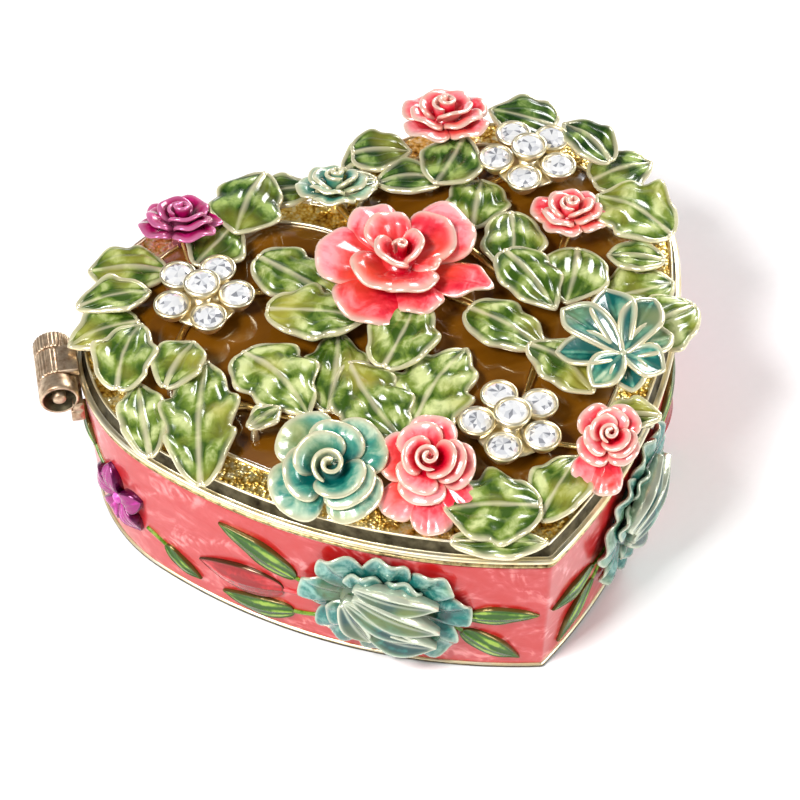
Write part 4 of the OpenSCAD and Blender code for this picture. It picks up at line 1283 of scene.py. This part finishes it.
# %% Magnets keep their CAD shape
for node in ("base_magnet", "lid_magnet"):
    mesh = frame["nodes"][node].data
    mesh.materials.clear()
    mesh.materials.append(nickel)


# %% [markdown]
# ## Light, floor and camera
# Plated metal only looks like metal when it has something to reflect, so the room is light with a few
# darker parts, and three large soft lamps give long highlights. The floor is matt and nearly white. The
# camera looks down at the box from the front, a little from the hinge side.

# %% Room
world = bpy.data.worlds.new("studio")
bpy.context.scene.world = world
world.use_nodes = True
sky = world.node_tree
direction = add(sky, "ShaderNodeTexCoord").outputs["Generated"]
upwards = add(sky, "ShaderNodeSeparateXYZ", {0: direction}).outputs["Z"]
greys = [(0.0, 0.8), (0.50, 0.6), (0.62, 1.0), (0.74, 0.8), (0.82, 0.08), (0.93, 0.08), (0.97, 0.5)]
greys = [(at, (level, level, level, 1)) for at, level in greys]
bands = ramp(sky, weighted(sky, (upwards, 0.5), start=0.5), greys)
link(sky, bands, sky.nodes["Background"], "Color")
sky.nodes["Background"].inputs["Strength"].default_value = 0.55
bpy.context.scene.view_settings.view_transform = "Standard"


# %% Lamps
def soft_lamp(name, place, target, size, watts):
    """A square area lamp at place, in metres, turned to face target."""
    data = bpy.data.lights.new(name, "AREA")
    data.size, data.energy = size, watts
    lamp = bpy.data.objects.new(name, data)
    bpy.context.scene.collection.objects.link(lamp)
    lamp.location = place
    lamp.rotation_euler = (Vector(target) - Vector(place)).to_track_quat("-Z", "Y").to_euler()


soft_lamp("key", (-0.24, -0.06, 0.34), (0, 0, 0.01), 0.12, 1.9)
soft_lamp("fill", (0.26, -0.26, 0.24), (0, 0, 0.01), 0.14, 0.8)
soft_lamp("back", (0.30, 0.22, 0.20), (0, 0, 0.01), 0.14, 0.9)

# %% Floor
paper, tree, shader = new_finish("paper", Base_Color=(0.95, 0.95, 0.95, 1), Roughness=0.9)
whites = [(0.0, (0.93, 0.93, 0.93, 1)), (1.0, (0.97, 0.97, 0.97, 1))]
link(tree, ramp(tree, noise(tree, 1.0, 2), whites), shader, "Base Color")
span = np.linspace(-2000, 2000, 9)
floor_grid = np.stack([*np.meshgrid(span, span), np.full((9, 9), -0.02)], -1)
floor_mesh = bpy.data.meshes.new("floor")
floor_mesh.from_pydata((floor_grid.reshape(-1, 3) * MM).tolist(), [], grid_faces(9, 9).tolist())
floor_mesh.materials.append(paper)
floor = bpy.data.objects.new("floor", floor_mesh)
bpy.context.scene.collection.objects.link(floor)

# %% Camera
AZIMUTH, ELEVATION, DISTANCE = np.radians(-25.65), np.radians(50.26), 320
AIM_RIGHT, AIM_UP = 1.903, 1.734  # how far the view's middle is from the target, in mm
target = np.array([0, 8.955, 0])
level = np.array([np.sin(AZIMUTH), -np.cos(AZIMUTH)]) * np.cos(ELEVATION)
towards = np.array([*level, np.sin(ELEVATION)])
right = np.array([np.cos(AZIMUTH), np.sin(AZIMUTH), 0])
above = np.cross(towards, right)
lens = bpy.data.cameras.new("camera")
lens.lens, lens.sensor_width, lens.clip_start, lens.clip_end = 133.8, 36.0, 0.01, 20.0
camera = bpy.data.objects.new("camera", lens)
bpy.context.scene.collection.objects.link(camera)
aim = target + AIM_RIGHT * right + AIM_UP * above
camera.location = (target + DISTANCE * towards) * MM
camera.rotation_euler = (Vector(aim * MM) - camera.location).to_track_quat("-Z", "Y").to_euler()
bpy.context.scene.camera = camera
print("camera at", np.round(np.array(camera.location), 3).tolist())
